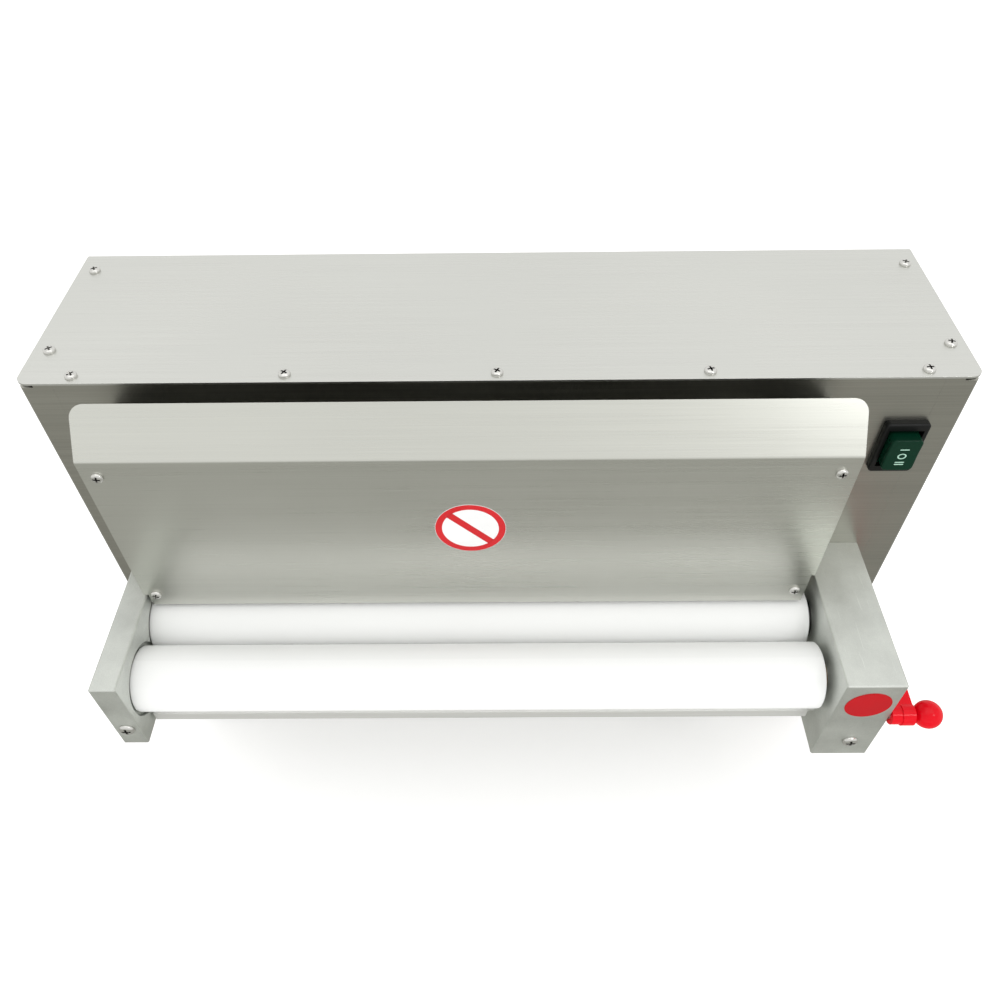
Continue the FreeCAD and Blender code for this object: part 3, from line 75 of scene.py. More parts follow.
# %% Reference planes
TOP_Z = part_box("top_rear_cover")[1].z
FRONT_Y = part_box("casing_shell")[0].y
HALF_GAP = 250 * MM               # from the left arm's inner face to the middle plane
GAP_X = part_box("left_arm")[1].x + HALF_GAP
print("cover top %.1f mm, casing front %.1f mm" % (TOP_Z / MM, FRONT_Y / MM))

# %% [markdown]
# ## Camera
# The camera looks steeply down, from a little above arm's reach, as a person standing at the
# bench would. It could be aimed with a Track To constraint, but a plain rotation matrix made
# from pitch, yaw and roll is exact and stays put.

# %% Camera
FOCAL_PER_WIDTH = 0.85717        # focal length as a share of the picture's width
SENSOR = 36.0
CAMERA_OFFSET = Vector((17.1, -422.3, 349.1)) * MM     # from the gap's middle, casing front and cover top
PITCH, YAW, ROLL = 47.724, -0.594, -0.835              # degrees: downwards, to the side, about the view


def look_matrix(pitch, yaw, roll):
    """Rotation of a camera that looks down by pitch, turned by yaw and rolled."""
    pitch, yaw, roll = (math.radians(a) for a in (pitch, yaw, roll))
    forward = Vector((math.sin(yaw) * math.cos(pitch), math.cos(yaw) * math.cos(pitch), -math.sin(pitch)))
    right = Vector((math.cos(yaw), -math.sin(yaw), 0.0))
    up = right.cross(forward)
    right, up = (math.cos(roll) * right + math.sin(roll) * up, math.cos(roll) * up - math.sin(roll) * right)
    return Matrix((right, up, -forward)).transposed().to_4x4()


def add_camera():
    data = bpy.data.cameras.new("camera")
    data.sensor_width = SENSOR
    data.lens = FOCAL_PER_WIDTH * SENSOR
    data.clip_start = 0.01
    camera = bpy.data.objects.new("camera", data)
    bpy.context.scene.collection.objects.link(camera)
    place = Vector((GAP_X, FRONT_Y, TOP_Z)) + CAMERA_OFFSET
    camera.matrix_world = Matrix.Translation(place) @ look_matrix(PITCH, YAW, ROLL)
    bpy.context.scene.camera = camera
    return camera


camera = add_camera()
print("camera", [round(c, 3) for c in camera.location])

# %% [markdown]
# ## Studio
# Steel shows whatever stands around it, so the room matters more than the lamps. The world is
# an even white dome down to the horizon and a calm grey below it. The floor is white paper,
# lit a little from below as a photographer's light table is, which keeps its shadow faint, and
# it is hidden from mirror reflections, so upright sheet metal mirrors that grey and reads
# as metal. One big softbox gives shape and a small strip puts the glint on the red knob.

# %% Floor, lights and world
DOME = (1.0, 1.0, 0.985)
BELOW = (0.47, 0.47, 0.435)
HORIZON = (-0.38, -0.04)         # Z of the direction where the grey ends and the dome begins
FLOOR_HALF = 9.0
FLOOR_GLOW = 0.3


def add_floor():
    mesh = bpy.data.meshes.new("floor")
    corners = [(x * FLOOR_HALF, y * FLOOR_HALF, 0) for x, y in ((-1, -1), (1, -1), (1, 1), (-1, 1))]
    mesh.from_pydata(corners, [], [(0, 1, 2, 3)])
    floor = bpy.data.objects.new("floor", mesh)
    bpy.context.scene.collection.objects.link(floor)
    paper = bpy.data.materials.new("floor_paper")
    paper.use_nodes = True
    shader = paper.node_tree.nodes["Principled BSDF"]
    for socket, value in (("Base Color", (0.96, 0.96, 0.96, 1)), ("Roughness", 0.9),
                          ("Emission Color", (1, 1, 1, 1)), ("Emission Strength", FLOOR_GLOW)):
        shader.inputs[socket].default_value = value
    mesh.materials.append(paper)
    floor.visible_glossy = False


def add_softbox(name, place, target, size, watts):
    data = bpy.data.lights.new(name, "AREA")
    data.shape = "RECTANGLE"
    data.size, data.size_y = size
    data.energy = watts
    lamp = bpy.data.objects.new(name, data)
    bpy.context.scene.collection.objects.link(lamp)
    aim = (Vector(target) - Vector(place)).to_track_quat("-Z", "Y")
    lamp.matrix_world = Matrix.Translation(place) @ aim.to_matrix().to_4x4()


def set_world():
    world = bpy.data.worlds.new("studio")
    world.use_nodes = True
    tree = world.node_tree
    coords = tree.nodes.new("ShaderNodeTexCoord")
    split = tree.nodes.new("ShaderNodeSeparateXYZ")
    height = tree.nodes.new("ShaderNodeMapRange")
    height.inputs["From Min"].default_value, height.inputs["From Max"].default_value = HORIZON
    blend = tree.nodes.new("ShaderNodeMix")
    blend.data_type = "RGBA"
    ends = [socket for socket in blend.inputs if socket.type == "RGBA"]
    ends[0].default_value = (*BELOW, 1)
    ends[1].default_value = (*DOME, 1)
    result = [socket for socket in blend.outputs if socket.type == "RGBA"][0]
    tree.links.new(coords.outputs["Generated"], split.inputs[0])
    tree.links.new(split.outputs["Z"], height.inputs["Value"])
    tree.links.new(height.outputs["Result"], blend.inputs["Factor"])
    tree.links.new(result, tree.nodes["Background"].inputs["Color"])
    bpy.context.scene.world = world


add_floor()
add_softbox("overhead", (0.0, -0.2, 2.4), (0, 0, 0.3), (2.6, 1.8), 9)
add_softbox("strip", (0.75, -0.75, 1.1), (0.31, -0.13, 0.22), (0.28, 0.07), 1.2)
set_world()
view = bpy.context.scene.view_settings
view.view_transform = "Standard"
view.look = "None"

# %% [markdown]
# ## Finishes
# Every finish is a small node tree on Object coordinates, so it needs no picture files and
# never slides. `Finish` wraps the few steps that all of them share.

# %% The node-tree helper
class Finish:
    """A material under construction, with its Principled shader and short ways to add nodes."""

    def __init__(self, name, color, roughness, metallic=0.0, **constants):
        self.material = bpy.data.materials.new(name)
        self.material.use_nodes = True
        self.tree = self.material.node_tree
        self.shader = self.tree.nodes["Principled BSDF"]
        self.set("Base Color", (*color, 1))
        self.set("Roughness", roughness)
        self.set("Metallic", metallic)
        for socket, value in constants.items():
            self.set(socket.replace("_", " "), value)

    def set(self, socket, value):
        self.shader.inputs[socket].default_value = value

    def node(self, kind, **settings):
        made = self.tree.nodes.new(kind)
        for key, value in settings.items():
            if key in made.inputs:
                made.inputs[key].default_value = value
            else:
                setattr(made, key, value)
        return made

    def link(self, out, into):
        self.tree.links.new(out, into)

    def place(self, scale=(1, 1, 1), turn=(0, 0, 0)):
        """Object coordinates in metres, stretched by scale."""
        coords = self.node("ShaderNodeTexCoord")
        mapping = self.node("ShaderNodeMapping")
        mapping.inputs["Scale"].default_value = scale
        mapping.inputs["Rotation"].default_value = turn
        self.link(coords.outputs["Object"], mapping.inputs["Vector"])
        return mapping.outputs["Vector"]

    def noise(self, scale, stretch=(1, 1, 1), detail=2.0, rough=0.5, turn=(0, 0, 0)):
        made = self.node("ShaderNodeTexNoise", Scale=scale, Detail=detail, Roughness=rough)
        self.link(self.place(stretch, turn), made.inputs["Vector"])
        return made.outputs["Fac"]

    def spread(self, value, low, high, clamp_low=0.3, clamp_high=0.7):
        """Map a 0-1 value, mostly near its middle, to the range low to high."""
        made = self.node("ShaderNodeMapRange")
        made.inputs["From Min"].default_value = clamp_low
        made.inputs["From Max"].default_value = clamp_high
        made.inputs["To Min"].default_value = low
        made.inputs["To Max"].default_value = high
        self.link(value, made.inputs["Value"])
        return made.outputs["Result"]

    def tint(self, value, dark, light):
        """Colour that runs from dark to light as value goes from 0 to 1."""
        made = self.node("ShaderNodeMix", data_type="RGBA")
        colors = [s for s in made.inputs if s.type == "RGBA"]
        colors[0].default_value = (*dark, 1)
        colors[1].default_value = (*light, 1)
        self.link(value, made.inputs["Factor"])
        return [s for s in made.outputs if s.type == "RGBA"][0]

    def color(self, out):
        self.link(out, self.shader.inputs["Base Color"])

    def roughness(self, out):
        self.link(out, self.shader.inputs["Roughness"])

    def bump(self, height, strength, distance):
        made = self.node("ShaderNodeBump", Strength=strength, Distance=distance)
        self.link(height, made.inputs["Height"])
        self.link(made.outputs["Normal"], self.shader.inputs["Normal"])
        return made

    def round_edges(self, bump, radius):
        """Let edges catch the light as if they were rounded by radius, in metres."""
        rounded = self.node("ShaderNodeBevel", samples=4, Radius=radius)
        self.link(rounded.outputs["Normal"], bump.inputs["Normal"])


def shade(color, factor):
    return tuple(min(1.0, c * factor) for c in color)


# %% [markdown]
# ### Brushed stainless sheet
# Belt-brushed sheet carries thousands of fine parallel scratches. A noise that is squeezed hard
# across the grain and left long beside it gives the streaks; the same streaks drive a little
# colour, the roughness and a very shallow bump. The grain runs along X on this machine. Large
# faint patches lie over it, stronger on the casing.

# %% Sheet steel
def sheet_steel(name, color, stretch, rough=(0.24, 0.36), metallic=1.0, smear=0.03):
    finish = Finish(name, color, sum(rough) / 2, metallic)
    streaks = finish.noise(1.0, stretch, detail=4.0, rough=0.6)
    smears = finish.noise(9.0, (1, 1, 1), detail=3.0)
    wide = finish.noise(3.2, (1, 1, 1), detail=2.0)
    mixed = finish.node("ShaderNodeMath", operation="ADD")
    finish.link(finish.spread(streaks, 0, 0.5), mixed.inputs[0])
    finish.link(finish.spread(wide, 0, 0.5), mixed.inputs[1])
    finish.color(finish.tint(mixed.outputs[0], shade(color, 0.97 - smear), shade(color, 1.03 + smear)))
    blend = finish.node("ShaderNodeMath", operation="ADD")
    finish.link(finish.spread(streaks, rough[0], rough[1]), blend.inputs[0])
    finish.link(finish.spread(smears, -0.02, 0.04), blend.inputs[1])
    finish.roughness(blend.outputs[0])
    finish.round_edges(finish.bump(streaks, 0.08, 0.00002), 0.0004)
    return finish.material


STEEL = (0.67, 0.675, 0.645)
# The casing's steel is darker than the cover's. This is painted shade for the dark gap and room that its upright
# faces mirror.
SHADED_STEEL = (0.40, 0.395, 0.355)
CHUTE_STEEL = (0.63, 0.635, 0.59)
along_x = (6, 1400, 1400)
steel_cover = sheet_steel("brushed_stainless", STEEL, along_x)
steel_chute = sheet_steel("brushed_chute_stainless", CHUTE_STEEL, along_x)
# The casing and base plate take that darker steel: painted shade over a rougher satin grain.
steel_casing = sheet_steel("satin_casing_stainless_painted_shade", SHADED_STEEL, along_x, rough=(0.28, 0.4), smear=0.16)
print("sheet finishes:", [steel.name for steel in (steel_cover, steel_chute, steel_casing)])

# %% [markdown]
# ### Machined aluminium and the plain finishes
# The arms are milled and lightly blasted: matt, with soft clouds, handling stains and a few
# bright scuffs. Blasted metal scatters some of its light, so its metallic value stays a little
# under one. The plastics, the plated parts and the hidden parts share one recipe, and turned
# polyethylene and nickel get their own.

# %% Aluminium, plastics and plated parts
def arm_metal():
    color = (0.65, 0.67, 0.635)
    finish = Finish("machined_aluminium", color, 0.5, metallic=0.95)
    scuffs = finish.noise(1.0, (900, 40, 900), detail=3.0, turn=(0.5, 0.2, 0.7))
    clouds = finish.noise(28.0, detail=4.0, rough=0.6)
    specks = finish.noise(1600.0, detail=2.0)
    mixed = finish.node("ShaderNodeMath", operation="MULTIPLY_ADD")
    finish.link(specks, mixed.inputs[0])
    mixed.inputs[1].default_value = 0.35
    finish.link(clouds, mixed.inputs[2])
    worn = finish.node("ShaderNodeMath", operation="ADD")
    finish.link(finish.spread(mixed.outputs[0], 0, 0.85, 0.45, 0.9), worn.inputs[0])
    finish.link(finish.spread(scuffs, 0, 0.5, 0.66, 0.76), worn.inputs[1])
    finish.color(finish.tint(worn.outputs[0], shade(color, 0.84), shade(color, 1.16)))
    finish.roughness(finish.spread(clouds, 0.42, 0.58))
    finish.round_edges(finish.bump(specks, 0.15, 0.00004), 0.0006)
    return finish.material


def simple_finish(name, color, rough, metallic=0.0, grain=600.0, depth=0.00002, vary=0.06, edge=0.0003,
                  **constants):
    """A plain moulded or turned surface: faint mottling, uneven gloss and a fine bump."""
    finish = Finish(name, color, rough, metallic, **constants)
    mottle = finish.noise(40.0, detail=3.0)
    fine = finish.noise(grain, detail=2.0)
    finish.color(finish.tint(finish.spread(mottle, 0, 1), shade(color, 1 - vary), shade(color, 1 + vary)))
    finish.roughness(finish.spread(mottle, rough * 0.85, min(1.0, rough * 1.15)))
    finish.round_edges(finish.bump(fine, 0.2, depth), edge)
    return finish.material


def roller_finish():
    """Turned polyethylene: nearly white, with faint lathe lines round it."""
    color = (0.92, 0.925, 0.92)
    finish = Finish("white_polyethylene", color, 0.42, Specular_IOR_Level=0.4)
    rings = finish.noise(1.0, (2600, 4, 4), detail=2.0)
    haze = finish.noise(7.0, detail=3.0)
    finish.color(finish.tint(finish.spread(haze, 0, 1), shade(color, 0.985), shade(color, 1.01)))
    finish.roughness(finish.spread(rings, 0.36, 0.5))
    finish.bump(rings, 0.2, 0.00001)
    return finish.material


def nickel_finish():
    """Bright nickel. A mesh attribute paints near-black shade into the cross recess and on the rim under a head.
    """
    bright, shade_tone = (0.66, 0.655, 0.63), (0.045, 0.042, 0.035)
    finish = Finish("bright_nickel", bright, 0.22, metallic=1.0)
    painted_shade = finish.node("ShaderNodeAttribute", attribute_name="painted_shade")
    patches = finish.noise(900.0, detail=3.0)
    patchy_shade = finish.node("ShaderNodeMath", operation="MULTIPLY")
    finish.link(painted_shade.outputs["Fac"], patchy_shade.inputs[0])
    finish.link(finish.spread(patches, 0.75, 1.0), patchy_shade.inputs[1])
    # Painted shade: where the attribute is set, the nickel turns near-black, a little patchily.
    finish.color(finish.tint(patchy_shade.outputs[0], bright, shade_tone))
    finish.roughness(finish.spread(patches, 0.18, 0.28))
    finish.bump(patches, 0.2, 0.000004)
    return finish.material


finishes = {
    "stainless_sheet": steel_cover,
    "arm_aluminium": arm_metal(),
    "roller_plastic": roller_finish(),
    "shaft_steel": simple_finish("ground_steel", (0.6, 0.6, 0.6), 0.18, 1.0, depth=0.000004),
    "gear_steel": simple_finish("cut_gear_steel", (0.4, 0.4, 0.4), 0.35, 1.0),
    "bronze": simple_finish("sintered_bronze", (0.62, 0.44, 0.24), 0.45, 1.0),
    "screw_nickel": nickel_finish(),
    "scraper_steel": sheet_steel("mill_steel", (0.74, 0.74, 0.72), (12, 500, 500), (0.35, 0.5), metallic=0.6),
    "rubber_black": simple_finish("moulded_rubber", (0.02, 0.02, 0.02), 0.7),
    "lever_red": simple_finish("glossy_red_plastic", (0.76, 0.002, 0.012), 0.16, depth=0.000006,
                               Specular_IOR_Level=0.18),
    "marker_red": simple_finish("red_vinyl", (0.47, 0.003, 0.008), 0.45, Specular_IOR_Level=0.08),
    "label_print": simple_finish("label_vinyl", (0.88, 0.88, 0.88), 0.3),
    "switch_black": simple_finish("black_moulding", (0.004, 0.0045, 0.0045), 0.38, Specular_IOR_Level=0.25),
    "switch_green": simple_finish("green_rocker", (0.002, 0.028, 0.014), 0.2, edge=0.0012,
                                  Specular_IOR_Level=0.12),
    "inner_plastic": simple_finish("ivory_moulding", (0.6, 0.58, 0.52), 0.5),
    "chain_steel": simple_finish("oiled_chain_steel", (0.25, 0.24, 0.23), 0.35, 1.0),
    "motor_grey": simple_finish("motor_enamel", (0.12, 0.13, 0.15), 0.45),
    "mount_steel": simple_finish("zinc_plate", (0.55, 0.55, 0.52), 0.4, 1.0),
    "cage_plastic": simple_finish("nylon_cage", (0.7, 0.66, 0.5), 0.5),
    "wire_sleeve": simple_finish("wire_sleeving", (0.03, 0.03, 0.03), 0.6),
    "capacitor_can": simple_finish("capacitor_plastic", (0.75, 0.75, 0.72), 0.45),
}
own_finish = {"casing_shell": steel_casing, "feed_chute": steel_chute, "base_plate": steel_casing}
slot_of = {row["node"]: row["material_slot"] for row in frame["record"]["subparts"]}
for name, piece in nodes.items():
    piece.data.materials.clear()
    piece.data.materials.append(own_finish.get(name, finishes[slot_of[name]]))
print("finishes:", len(finishes))

# %% [markdown]
# ## Screws
# The sheet metal is held by small pan-head screws with a cross recess. They differ only in size,
# so one head is modelled and Geometry Nodes puts a copy at every place. The places are not typed
# in: each screw of the design is an island in its node's mesh, and an island's box tells where
# its head sits, which way it points and how wide it is.

# %% One pan head
def spun(profile, steps):
    """Closed surface made by turning (radius, height) points about Z, first and last on the axis."""
    bm = bmesh.new()
    rings = []
    for radius, height in profile:
        if radius == 0:
            rings.append([bm.verts.new((0, 0, height))])
        else:
            rings.append([bm.verts.new((radius * math.cos(a), radius * math.sin(a), height))
                          for a in (2 * math.pi * i / steps for i in range(steps))])
    for low, high in zip(rings, rings[1:]):
        for i in range(steps):
            below = [low[i % len(low)], low[(i + 1) % len(low)]]
            above = [high[(i + 1) % len(high)], high[i % len(high)]]
            distinct = list(dict.fromkeys(below + above))
            if len(distinct) > 2:
                bm.faces.new(distinct)
    return bm


def to_object(name, bm, smooth=True):
    mesh = bpy.data.meshes.new(name)
    bmesh.ops.recalc_face_normals(bm, faces=bm.faces)
    bm.to_mesh(mesh)
    bm.free()
    for face in mesh.polygons:
        face.use_smooth = smooth
    made = bpy.data.objects.new(name, mesh)
    bpy.context.scene.collection.objects.link(made)
    return made


def cross_cutter():
    """Four-winged driver point that narrows towards its tip, in units of the head."""
    bm = bmesh.new()
    for turn in (0, math.pi / 2):
        verts = []
        for height, reach, half in ((1.3, 0.72, 0.16), (0.2, 0.3, 0.1)):
            for x, y in ((-reach, -half), (reach, -half), (reach, half), (-reach, half)):
                verts.append(bm.verts.new(Matrix.Rotation(turn, 3, "Z") @ Vector((x, y, height))))
        for face in ((3, 2, 1, 0), (4, 5, 6, 7), (0, 1, 5, 4), (1, 2, 6, 5), (2, 3, 7, 6), (3, 0, 4, 7)):
            bm.faces.new([verts[i] for i in face])
    return to_object("cross_cutter", bm, smooth=False)


def apply_modifiers(made):
    """Freeze an object's modifiers into its mesh."""
    bpy.context.view_layer.update()
    evaluated = made.evaluated_get(bpy.context.evaluated_depsgraph_get())
    mesh = bpy.data.meshes.new_from_object(evaluated)
    made.modifiers.clear()
    made.data = mesh
    return made


RECESS_STEP = 0.12               # a face this far under the dome belongs to the recess
RECESS_REACH = 0.8


def pan_head():
    profile = [(0, -0.02), (0.97, -0.02), (1.0, 0.03), (1.0, 0.32), (0.96, 0.55), (0.86, 0.76), (0.68, 0.91),
               (0.42, 0.985), (0, 1.0)]
    head = to_object("pan_head", spun(profile, 40))
    cutter = cross_cutter()
    carve = head.modifiers.new("recess", "BOOLEAN")
    carve.operation = "DIFFERENCE"
    carve.solver = "EXACT"
    carve.use_self = True
    carve.object = cutter
    apply_modifiers(head)
    bpy.data.objects.remove(cutter)
    radii, heights = zip(*reversed(profile[1:]))
    # A face attribute marks where shade is painted: full in the cross recess, 0.85 on the low rim under the head.
    painted_shade = head.data.attributes.new("painted_shade", "FLOAT", "FACE")
    for face in head.data.polygons:
        out = math.hypot(face.center.x, face.center.y)
        dome = heights[0] if out < radii[0] else min(h for r, h in zip(radii, heights) if r <= out + 0.02)
        sunk = face.center.z < dome - RECESS_STEP and out < RECESS_REACH
        painted_shade.data[face.index].value = 1.0 if sunk else (0.85 if face.center.z < 0.1 else 0.0)
        face.use_smooth = not sunk
    return head


head = pan_head()
print("pan head faces:", len(head.data.polygons))

# %% Where the screws are
def islands(node):
    """Lists of points, one list for each separate solid in a node's mesh."""
    bm = bmesh.new()
    bm.from_mesh(nodes[node].data)
    bmesh.ops.remove_doubles(bm, verts=bm.verts, dist=1e-6)
    bm.verts.ensure_lookup_table()
    seen = set()
    found = []
    for start in bm.verts:
        if start in seen:
            continue
        group, queue = [], [start]
        seen.add(start)
        while queue:
            vert = queue.pop()
            group.append(vert.co.copy())
            for edge in vert.link_edges:
                other = edge.other_vert(vert)
                if other not in seen:
                    seen.add(other)
                    queue.append(other)
        found.append(group)
    bm.free()
    return found


def head_place(points):
    """Centre of the head's underside, outward direction, radius and height of one screw."""
    low = Vector(min(p[i] for p in points) for i in range(3))
    high = Vector(max(p[i] for p in points) for i in range(3))
    extent = high - low
    wide = sorted(extent)[1]
    along = max(range(3), key=lambda i: abs(extent[i] - wide))
    middle = (low + high) / 2
    radius = wide / 2
    across = [i for i in range(3) if i != along]
    rim = [p[along] for p in points if math.hypot(*(p[i] - middle[i] for i in across)) > 0.97 * radius]
    sign = 1 if sum(rim) / len(rim) > middle[along] else -1
    under = min(rim) if sign > 0 else max(rim)
    top = high[along] if sign > 0 else low[along]
    direction = Vector((0, 0, 0))
    direction[along] = sign
    middle[along] = under
    return middle, direction, radius, abs(top - under)


print("one cover screw:", head_place(islands("cover_screws")[0])[1:])

# %% [markdown]
# ### The screw tree
# The tree takes a cloud of points that carry two vectors, a turn and a size. Instance on Points
# does the copying, Realize Instances makes it a plain mesh, and Set Material gives the finish.

# %% Screws by Geometry Nodes
def screw_tree():
    tree = bpy.data.node_groups.new("screws_on_points", "GeometryNodeTree")
    sockets = {}
    for name, kind in (("Places", "NodeSocketGeometry"), ("Head", "NodeSocketObject"),
                       ("Finish", "NodeSocketMaterial"), ("Head scale", "NodeSocketFloat")):
        sockets[name] = tree.interface.new_socket(name, in_out="INPUT", socket_type=kind).identifier
    tree.interface.new_socket("Screws", in_out="OUTPUT", socket_type="NodeSocketGeometry")
    add, link = tree.nodes.new, tree.links.new
    start, end = add("NodeGroupInput"), add("NodeGroupOutput")
    info = add("GeometryNodeObjectInfo")
    info.inputs["As Instance"].default_value = True
    turn, size = add("GeometryNodeInputNamedAttribute"), add("GeometryNodeInputNamedAttribute")
    for reader, name in ((turn, "turn"), (size, "size")):
        reader.data_type = "FLOAT_VECTOR"
        reader.inputs["Name"].default_value = name
    scale = add("ShaderNodeVectorMath")
    scale.operation = "SCALE"
    copy, real = add("GeometryNodeInstanceOnPoints"), add("GeometryNodeRealizeInstances")
    paint = add("GeometryNodeSetMaterial")
    link(start.outputs["Head"], info.inputs["Object"])
    link(size.outputs["Attribute"], scale.inputs[0])
    link(start.outputs["Head scale"], scale.inputs["Scale"])
    link(start.outputs["Places"], copy.inputs["Points"])
    link(info.outputs["Geometry"], copy.inputs["Instance"])
    link(turn.outputs["Attribute"], copy.inputs["Rotation"])
    link(scale.outputs["Vector"], copy.inputs["Scale"])
    link(copy.outputs["Instances"], real.inputs["Geometry"])
    link(real.outputs["Geometry"], paint.inputs["Geometry"])
    link(start.outputs["Finish"], paint.inputs["Material"])
    link(paint.outputs["Geometry"], end.inputs["Screws"])
    return tree, sockets


def screws_for(node, tree, sockets, dice):
    """Replace one node of screws by detailed heads at the same places."""
    found = [head_place(points) for points in islands(node)]
    cloud = bpy.data.meshes.new(node + "_places")
    cloud.from_pydata([place for place, direction, radius, height in found], [], [])
    turns = cloud.attributes.new("turn", "FLOAT_VECTOR", "POINT")
    sizes = cloud.attributes.new("size", "FLOAT_VECTOR", "POINT")
    for i, (place, direction, radius, height) in enumerate(found):
        twist = Matrix.Rotation(dice.uniform(0, math.pi / 2), 3, "Z")
        turns.data[i].vector = (direction.to_track_quat("Z", "Y").to_matrix() @ twist).to_euler()
        sizes.data[i].vector = (radius, radius, height)
    made = bpy.data.objects.new(node + "_heads", cloud)
    bpy.context.scene.collection.objects.link(made)
    grow = made.modifiers.new("screws", "NODES")
    grow.node_group = tree
    grow[sockets["Head"]] = head
    grow[sockets["Finish"]] = finishes["screw_nickel"]
    grow[sockets["Head scale"]] = 1.0
    apply_modifiers(made)
    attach(made, body_of_node[node])
    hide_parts(node)
    print(node, "->", len(found), "heads")


tree, sockets = screw_tree()
SCREW_SEED = 12
dice = random.Random(SCREW_SEED)
for node in ("cover_screws", "chute_screws", "arm_front_screws"):
    screws_for(node, tree, sockets, dice)
bpy.data.objects.remove(head)

# %% [markdown]
# ## The plunger's spring
# A compression spring inside the lever's barrel pushes the index pin home. A spring is a path
# with a round section, so a spiral curve and a profile circle make it in Geometry Nodes. It is
# seated against the lever and rides with it. It is a hidden stand-in and not a spring that could
# be wound.

# %% Spring by Geometry Nodes
def spring_tree():
    tree = bpy.data.node_groups.new("coil_spring", "GeometryNodeTree")
    sockets = {}
    for name, kind in (("Turns", "NodeSocketFloat"), ("Radius", "NodeSocketFloat"),
                       ("Wire", "NodeSocketFloat"), ("Length", "NodeSocketFloat"),
                       ("Start", "NodeSocketVector"), ("Finish", "NodeSocketMaterial")):
        sockets[name] = tree.interface.new_socket(name, in_out="INPUT", socket_type=kind).identifier
    tree.interface.new_socket("Spring", in_out="OUTPUT", socket_type="NodeSocketGeometry")
    add, link = tree.nodes.new, tree.links.new
    start, end = add("NodeGroupInput"), add("NodeGroupOutput")
    spiral = add("GeometryNodeCurveSpiral")
    spiral.inputs["Resolution"].default_value = 40
    for socket in ("Start Radius", "End Radius"):
        link(start.outputs["Radius"], spiral.inputs[socket])
    link(start.outputs["Turns"], spiral.inputs["Rotations"])
    link(start.outputs["Length"], spiral.inputs["Height"])
    section = add("GeometryNodeCurvePrimitiveCircle")
    section.inputs["Resolution"].default_value = 12
    link(start.outputs["Wire"], section.inputs["Radius"])
    wire, lay = add("GeometryNodeCurveToMesh"), add("GeometryNodeTransform")
    wire.inputs["Fill Caps"].default_value = True
    lay.inputs["Rotation"].default_value = (0, math.pi / 2, 0)
    real, paint = add("GeometryNodeRealizeInstances"), add("GeometryNodeSetMaterial")
    link(spiral.outputs["Curve"], wire.inputs["Curve"])
    link(section.outputs["Curve"], wire.inputs["Profile Curve"])
    link(wire.outputs["Mesh"], lay.inputs["Geometry"])
    link(start.outputs["Start"], lay.inputs["Translation"])
    link(lay.outputs["Geometry"], real.inputs["Geometry"])
    link(real.outputs["Geometry"], paint.inputs["Geometry"])
    link(start.outputs["Finish"], paint.inputs["Material"])
    link(paint.outputs["Geometry"], end.inputs["Spring"])
    return tree, sockets


TURNS = 3.5
spring_low, spring_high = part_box("plunger_spring")
wire_radius = 0.3 * MM            # thinner than the wire of the design's rings
reach = (spring_high.y - spring_low.y) / 2 - wire_radius
room = spring_high.x - spring_low.x
seat = Vector((spring_high.x, (spring_low.y + spring_high.y) / 2, (spring_low.z + spring_high.z) / 2))
tree, sockets = spring_tree()
spring = bpy.data.objects.new("index_spring", bpy.data.meshes.new("index_spring"))
bpy.context.scene.collection.objects.link(spring)
coil = spring.modifiers.new("coil", "NODES")
coil.node_group = tree
end_gap = 1.2 * wire_radius
for name, value in (("Turns", TURNS), ("Radius", reach), ("Wire", wire_radius), ("Length", room - 2 * end_gap),
                    ("Start", (spring_low.x + end_gap, seat.y, seat.z)), ("Finish", finishes["chain_steel"])):
    coil[sockets[name]] = value
apply_modifiers(spring)
bm = bmesh.new()
bm.from_mesh(spring.data)
bmesh.ops.remove_doubles(bm, verts=bm.verts, dist=1e-7)
bmesh.ops.recalc_face_normals(bm, faces=bm.faces)
bm.to_mesh(spring.data)
bm.free()
for face in spring.data.polygons:
    face.use_smooth = True
pull = [joint for joint in frame["joints"] if joint["name"] == "index_plunger_pull"][0]
print("spring room %.1f mm, plunger joint:" % (room / MM), pull)
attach(spring, "rear_axle")
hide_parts("plunger_spring")
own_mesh(spring)

# %% [markdown]
# ## The round label
# A round sticker sits in the middle of the chute. It gets a plain generic sign: a red ring and
# bar on white. Each shape is a thin solid a few hundredths of a millimetre proud, like a screen
# print, so that it stays sharp at any distance.

# %% Flat prints
PRINT = 0.06 * MM                # how far a print stands proud, and how far it reaches in


def flat_print(name, outlines, face_y, material, body):
    """Thin solids that stand proud of a front face, whose Y at (x, z) is face_y(x, z).

    Outlines are lists of (x, z), and one may be paired with a hole of equal length.
    """
    bm = bmesh.new()
    for outline in outlines:
        outer, inner = outline if isinstance(outline, tuple) else (outline, None)
        sheets = []
        for lift in (-PRINT, PRINT):
            rims = [[bm.verts.new((x, face_y(x, z) - lift, z)) for x, z in loop]
                    for loop in (outer, inner) if loop]
            sheets.append(rims)
            if inner:
                for i in range(len(outer)):
                    j = (i + 1) % len(outer)
                    bm.faces.new([rims[0][i], rims[0][j], rims[1][j], rims[1][i]])
            else:
                bm.faces.new(rims[0])
        for back, front in zip(*sheets):
            for i in range(len(back)):
                j = (i + 1) % len(back)
                bm.faces.new([back[i], back[j], front[j], front[i]])
    made = to_object(name, bm, smooth=False)
    made.data.materials.append(material)
    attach(made, body)
    return made


def circle(x, z, radius, steps=64, squash=1.0):
    turns = [2 * math.pi * i / steps for i in range(steps)]
    return [(x + radius * math.cos(a), z + squash * radius * math.sin(a)) for a in turns]


def bar(x, z, half_width, half_height):
    return [(x - half_width, z - half_height), (x + half_width, z - half_height),
            (x + half_width, z + half_height), (x - half_width, z + half_height)]


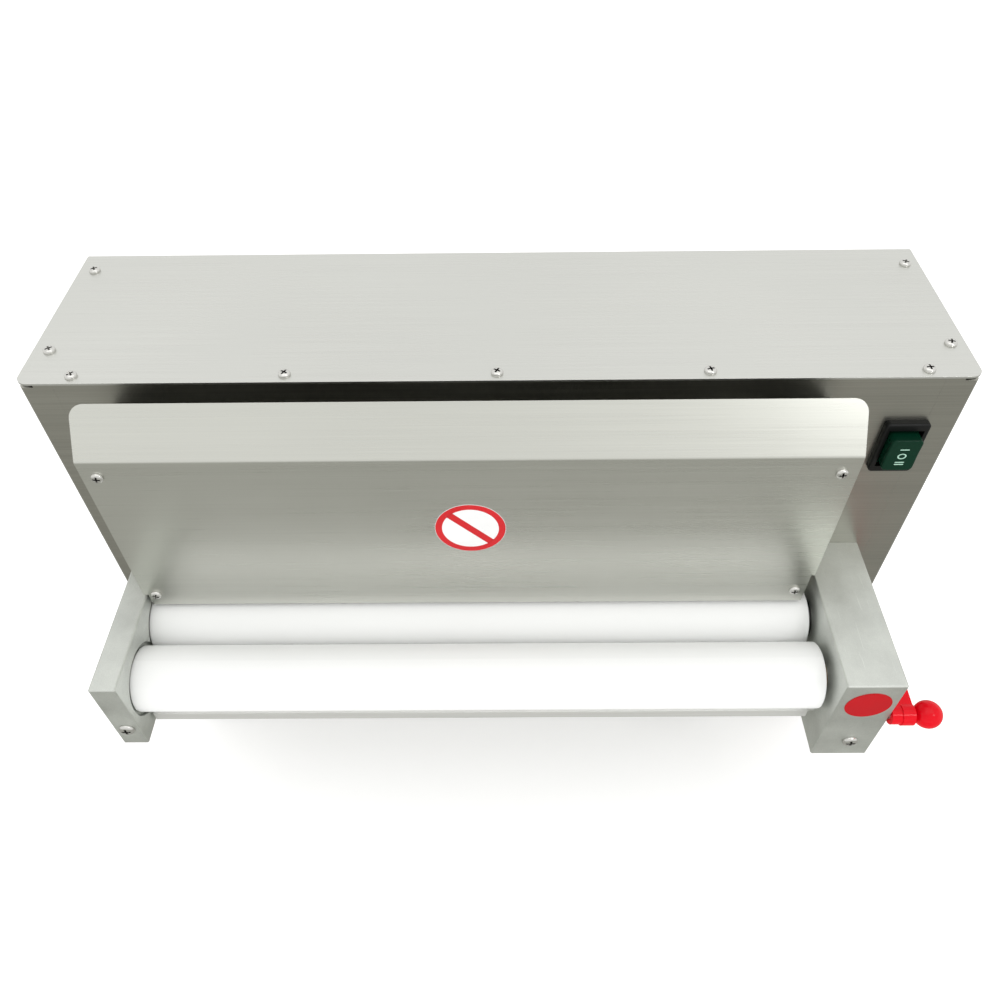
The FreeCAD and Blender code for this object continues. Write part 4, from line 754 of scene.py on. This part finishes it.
label_low, label_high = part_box("safety_label")
label_x, label_z = (label_low.x + label_high.x) / 2, (label_low.z + label_high.z) / 2
label_r = (label_high.x - label_low.x) / 2
print_red = simple_finish("label_red_ink", (0.62, 0.008, 0.014), 0.4, Specular_IOR_Level=0.3)
SLANT = math.radians(-45)
ring = (circle(label_x, label_z, label_r * 0.99, 96), circle(label_x, label_z, label_r * 0.8, 96))
stripe = [(label_x + x * math.cos(SLANT) - z * math.sin(SLANT),
           label_z + x * math.sin(SLANT) + z * math.cos(SLANT))
          for x, z in bar(0, 0, label_r * 0.805, label_r * 0.115)]
flat_print("label_ring", [ring, stripe], lambda x, z: label_low.y, print_red, "frame")
print("label radius %.1f mm" % (label_r / MM))

# %% [markdown]
# ## Marks on the switch
# The rocker has three places, marked I, O and II. They are printed in pale green and lie across
# the rocker, so they are drawn as bars and a ring that ride with it.

# %% Switch marks
rocker_low, rocker_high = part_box("switch_rocker")
rocker_x, rocker_z = (rocker_low.x + rocker_high.x) / 2, (rocker_low.z + rocker_high.z) / 2
rocker_mesh = nodes["switch_rocker"].data
rocker_tree = BVHTree.FromPolygons([v.co for v in rocker_mesh.vertices],
                                   [p.vertices for p in rocker_mesh.polygons])


def rocker_face(x, z):
    """Y of the rocker's curved face, found by a ray from in front of it."""
    hit = rocker_tree.ray_cast(Vector((x, rocker_low.y - 1 * MM, z)), Vector((0, 1, 0)))[0]
    return hit.y


pale_green = simple_finish("pale_green_ink", (0.42, 0.68, 0.55), 0.4)
STROKE = (3.1 * MM, 0.45 * MM)    # half length and half thickness of a bar
marks = {"one": [bar(rocker_x, rocker_z + 5.6 * MM, *STROKE)],
         "off": [(circle(rocker_x, rocker_z - 0.6 * MM, 3.0 * MM, 48, 0.85),
                  circle(rocker_x, rocker_z - 0.6 * MM, 2.1 * MM, 48, 0.8))],
         "two": [bar(rocker_x, rocker_z - 7.0 * MM + dz, *STROKE) for dz in (-0.95 * MM, 0.95 * MM)]}
for name, shapes in marks.items():
    flat_print("switch_mark_" + name, shapes, rocker_face, pale_green, "rocker")
print("rocker face at %.1f mm" % (rocker_low.y / MM))
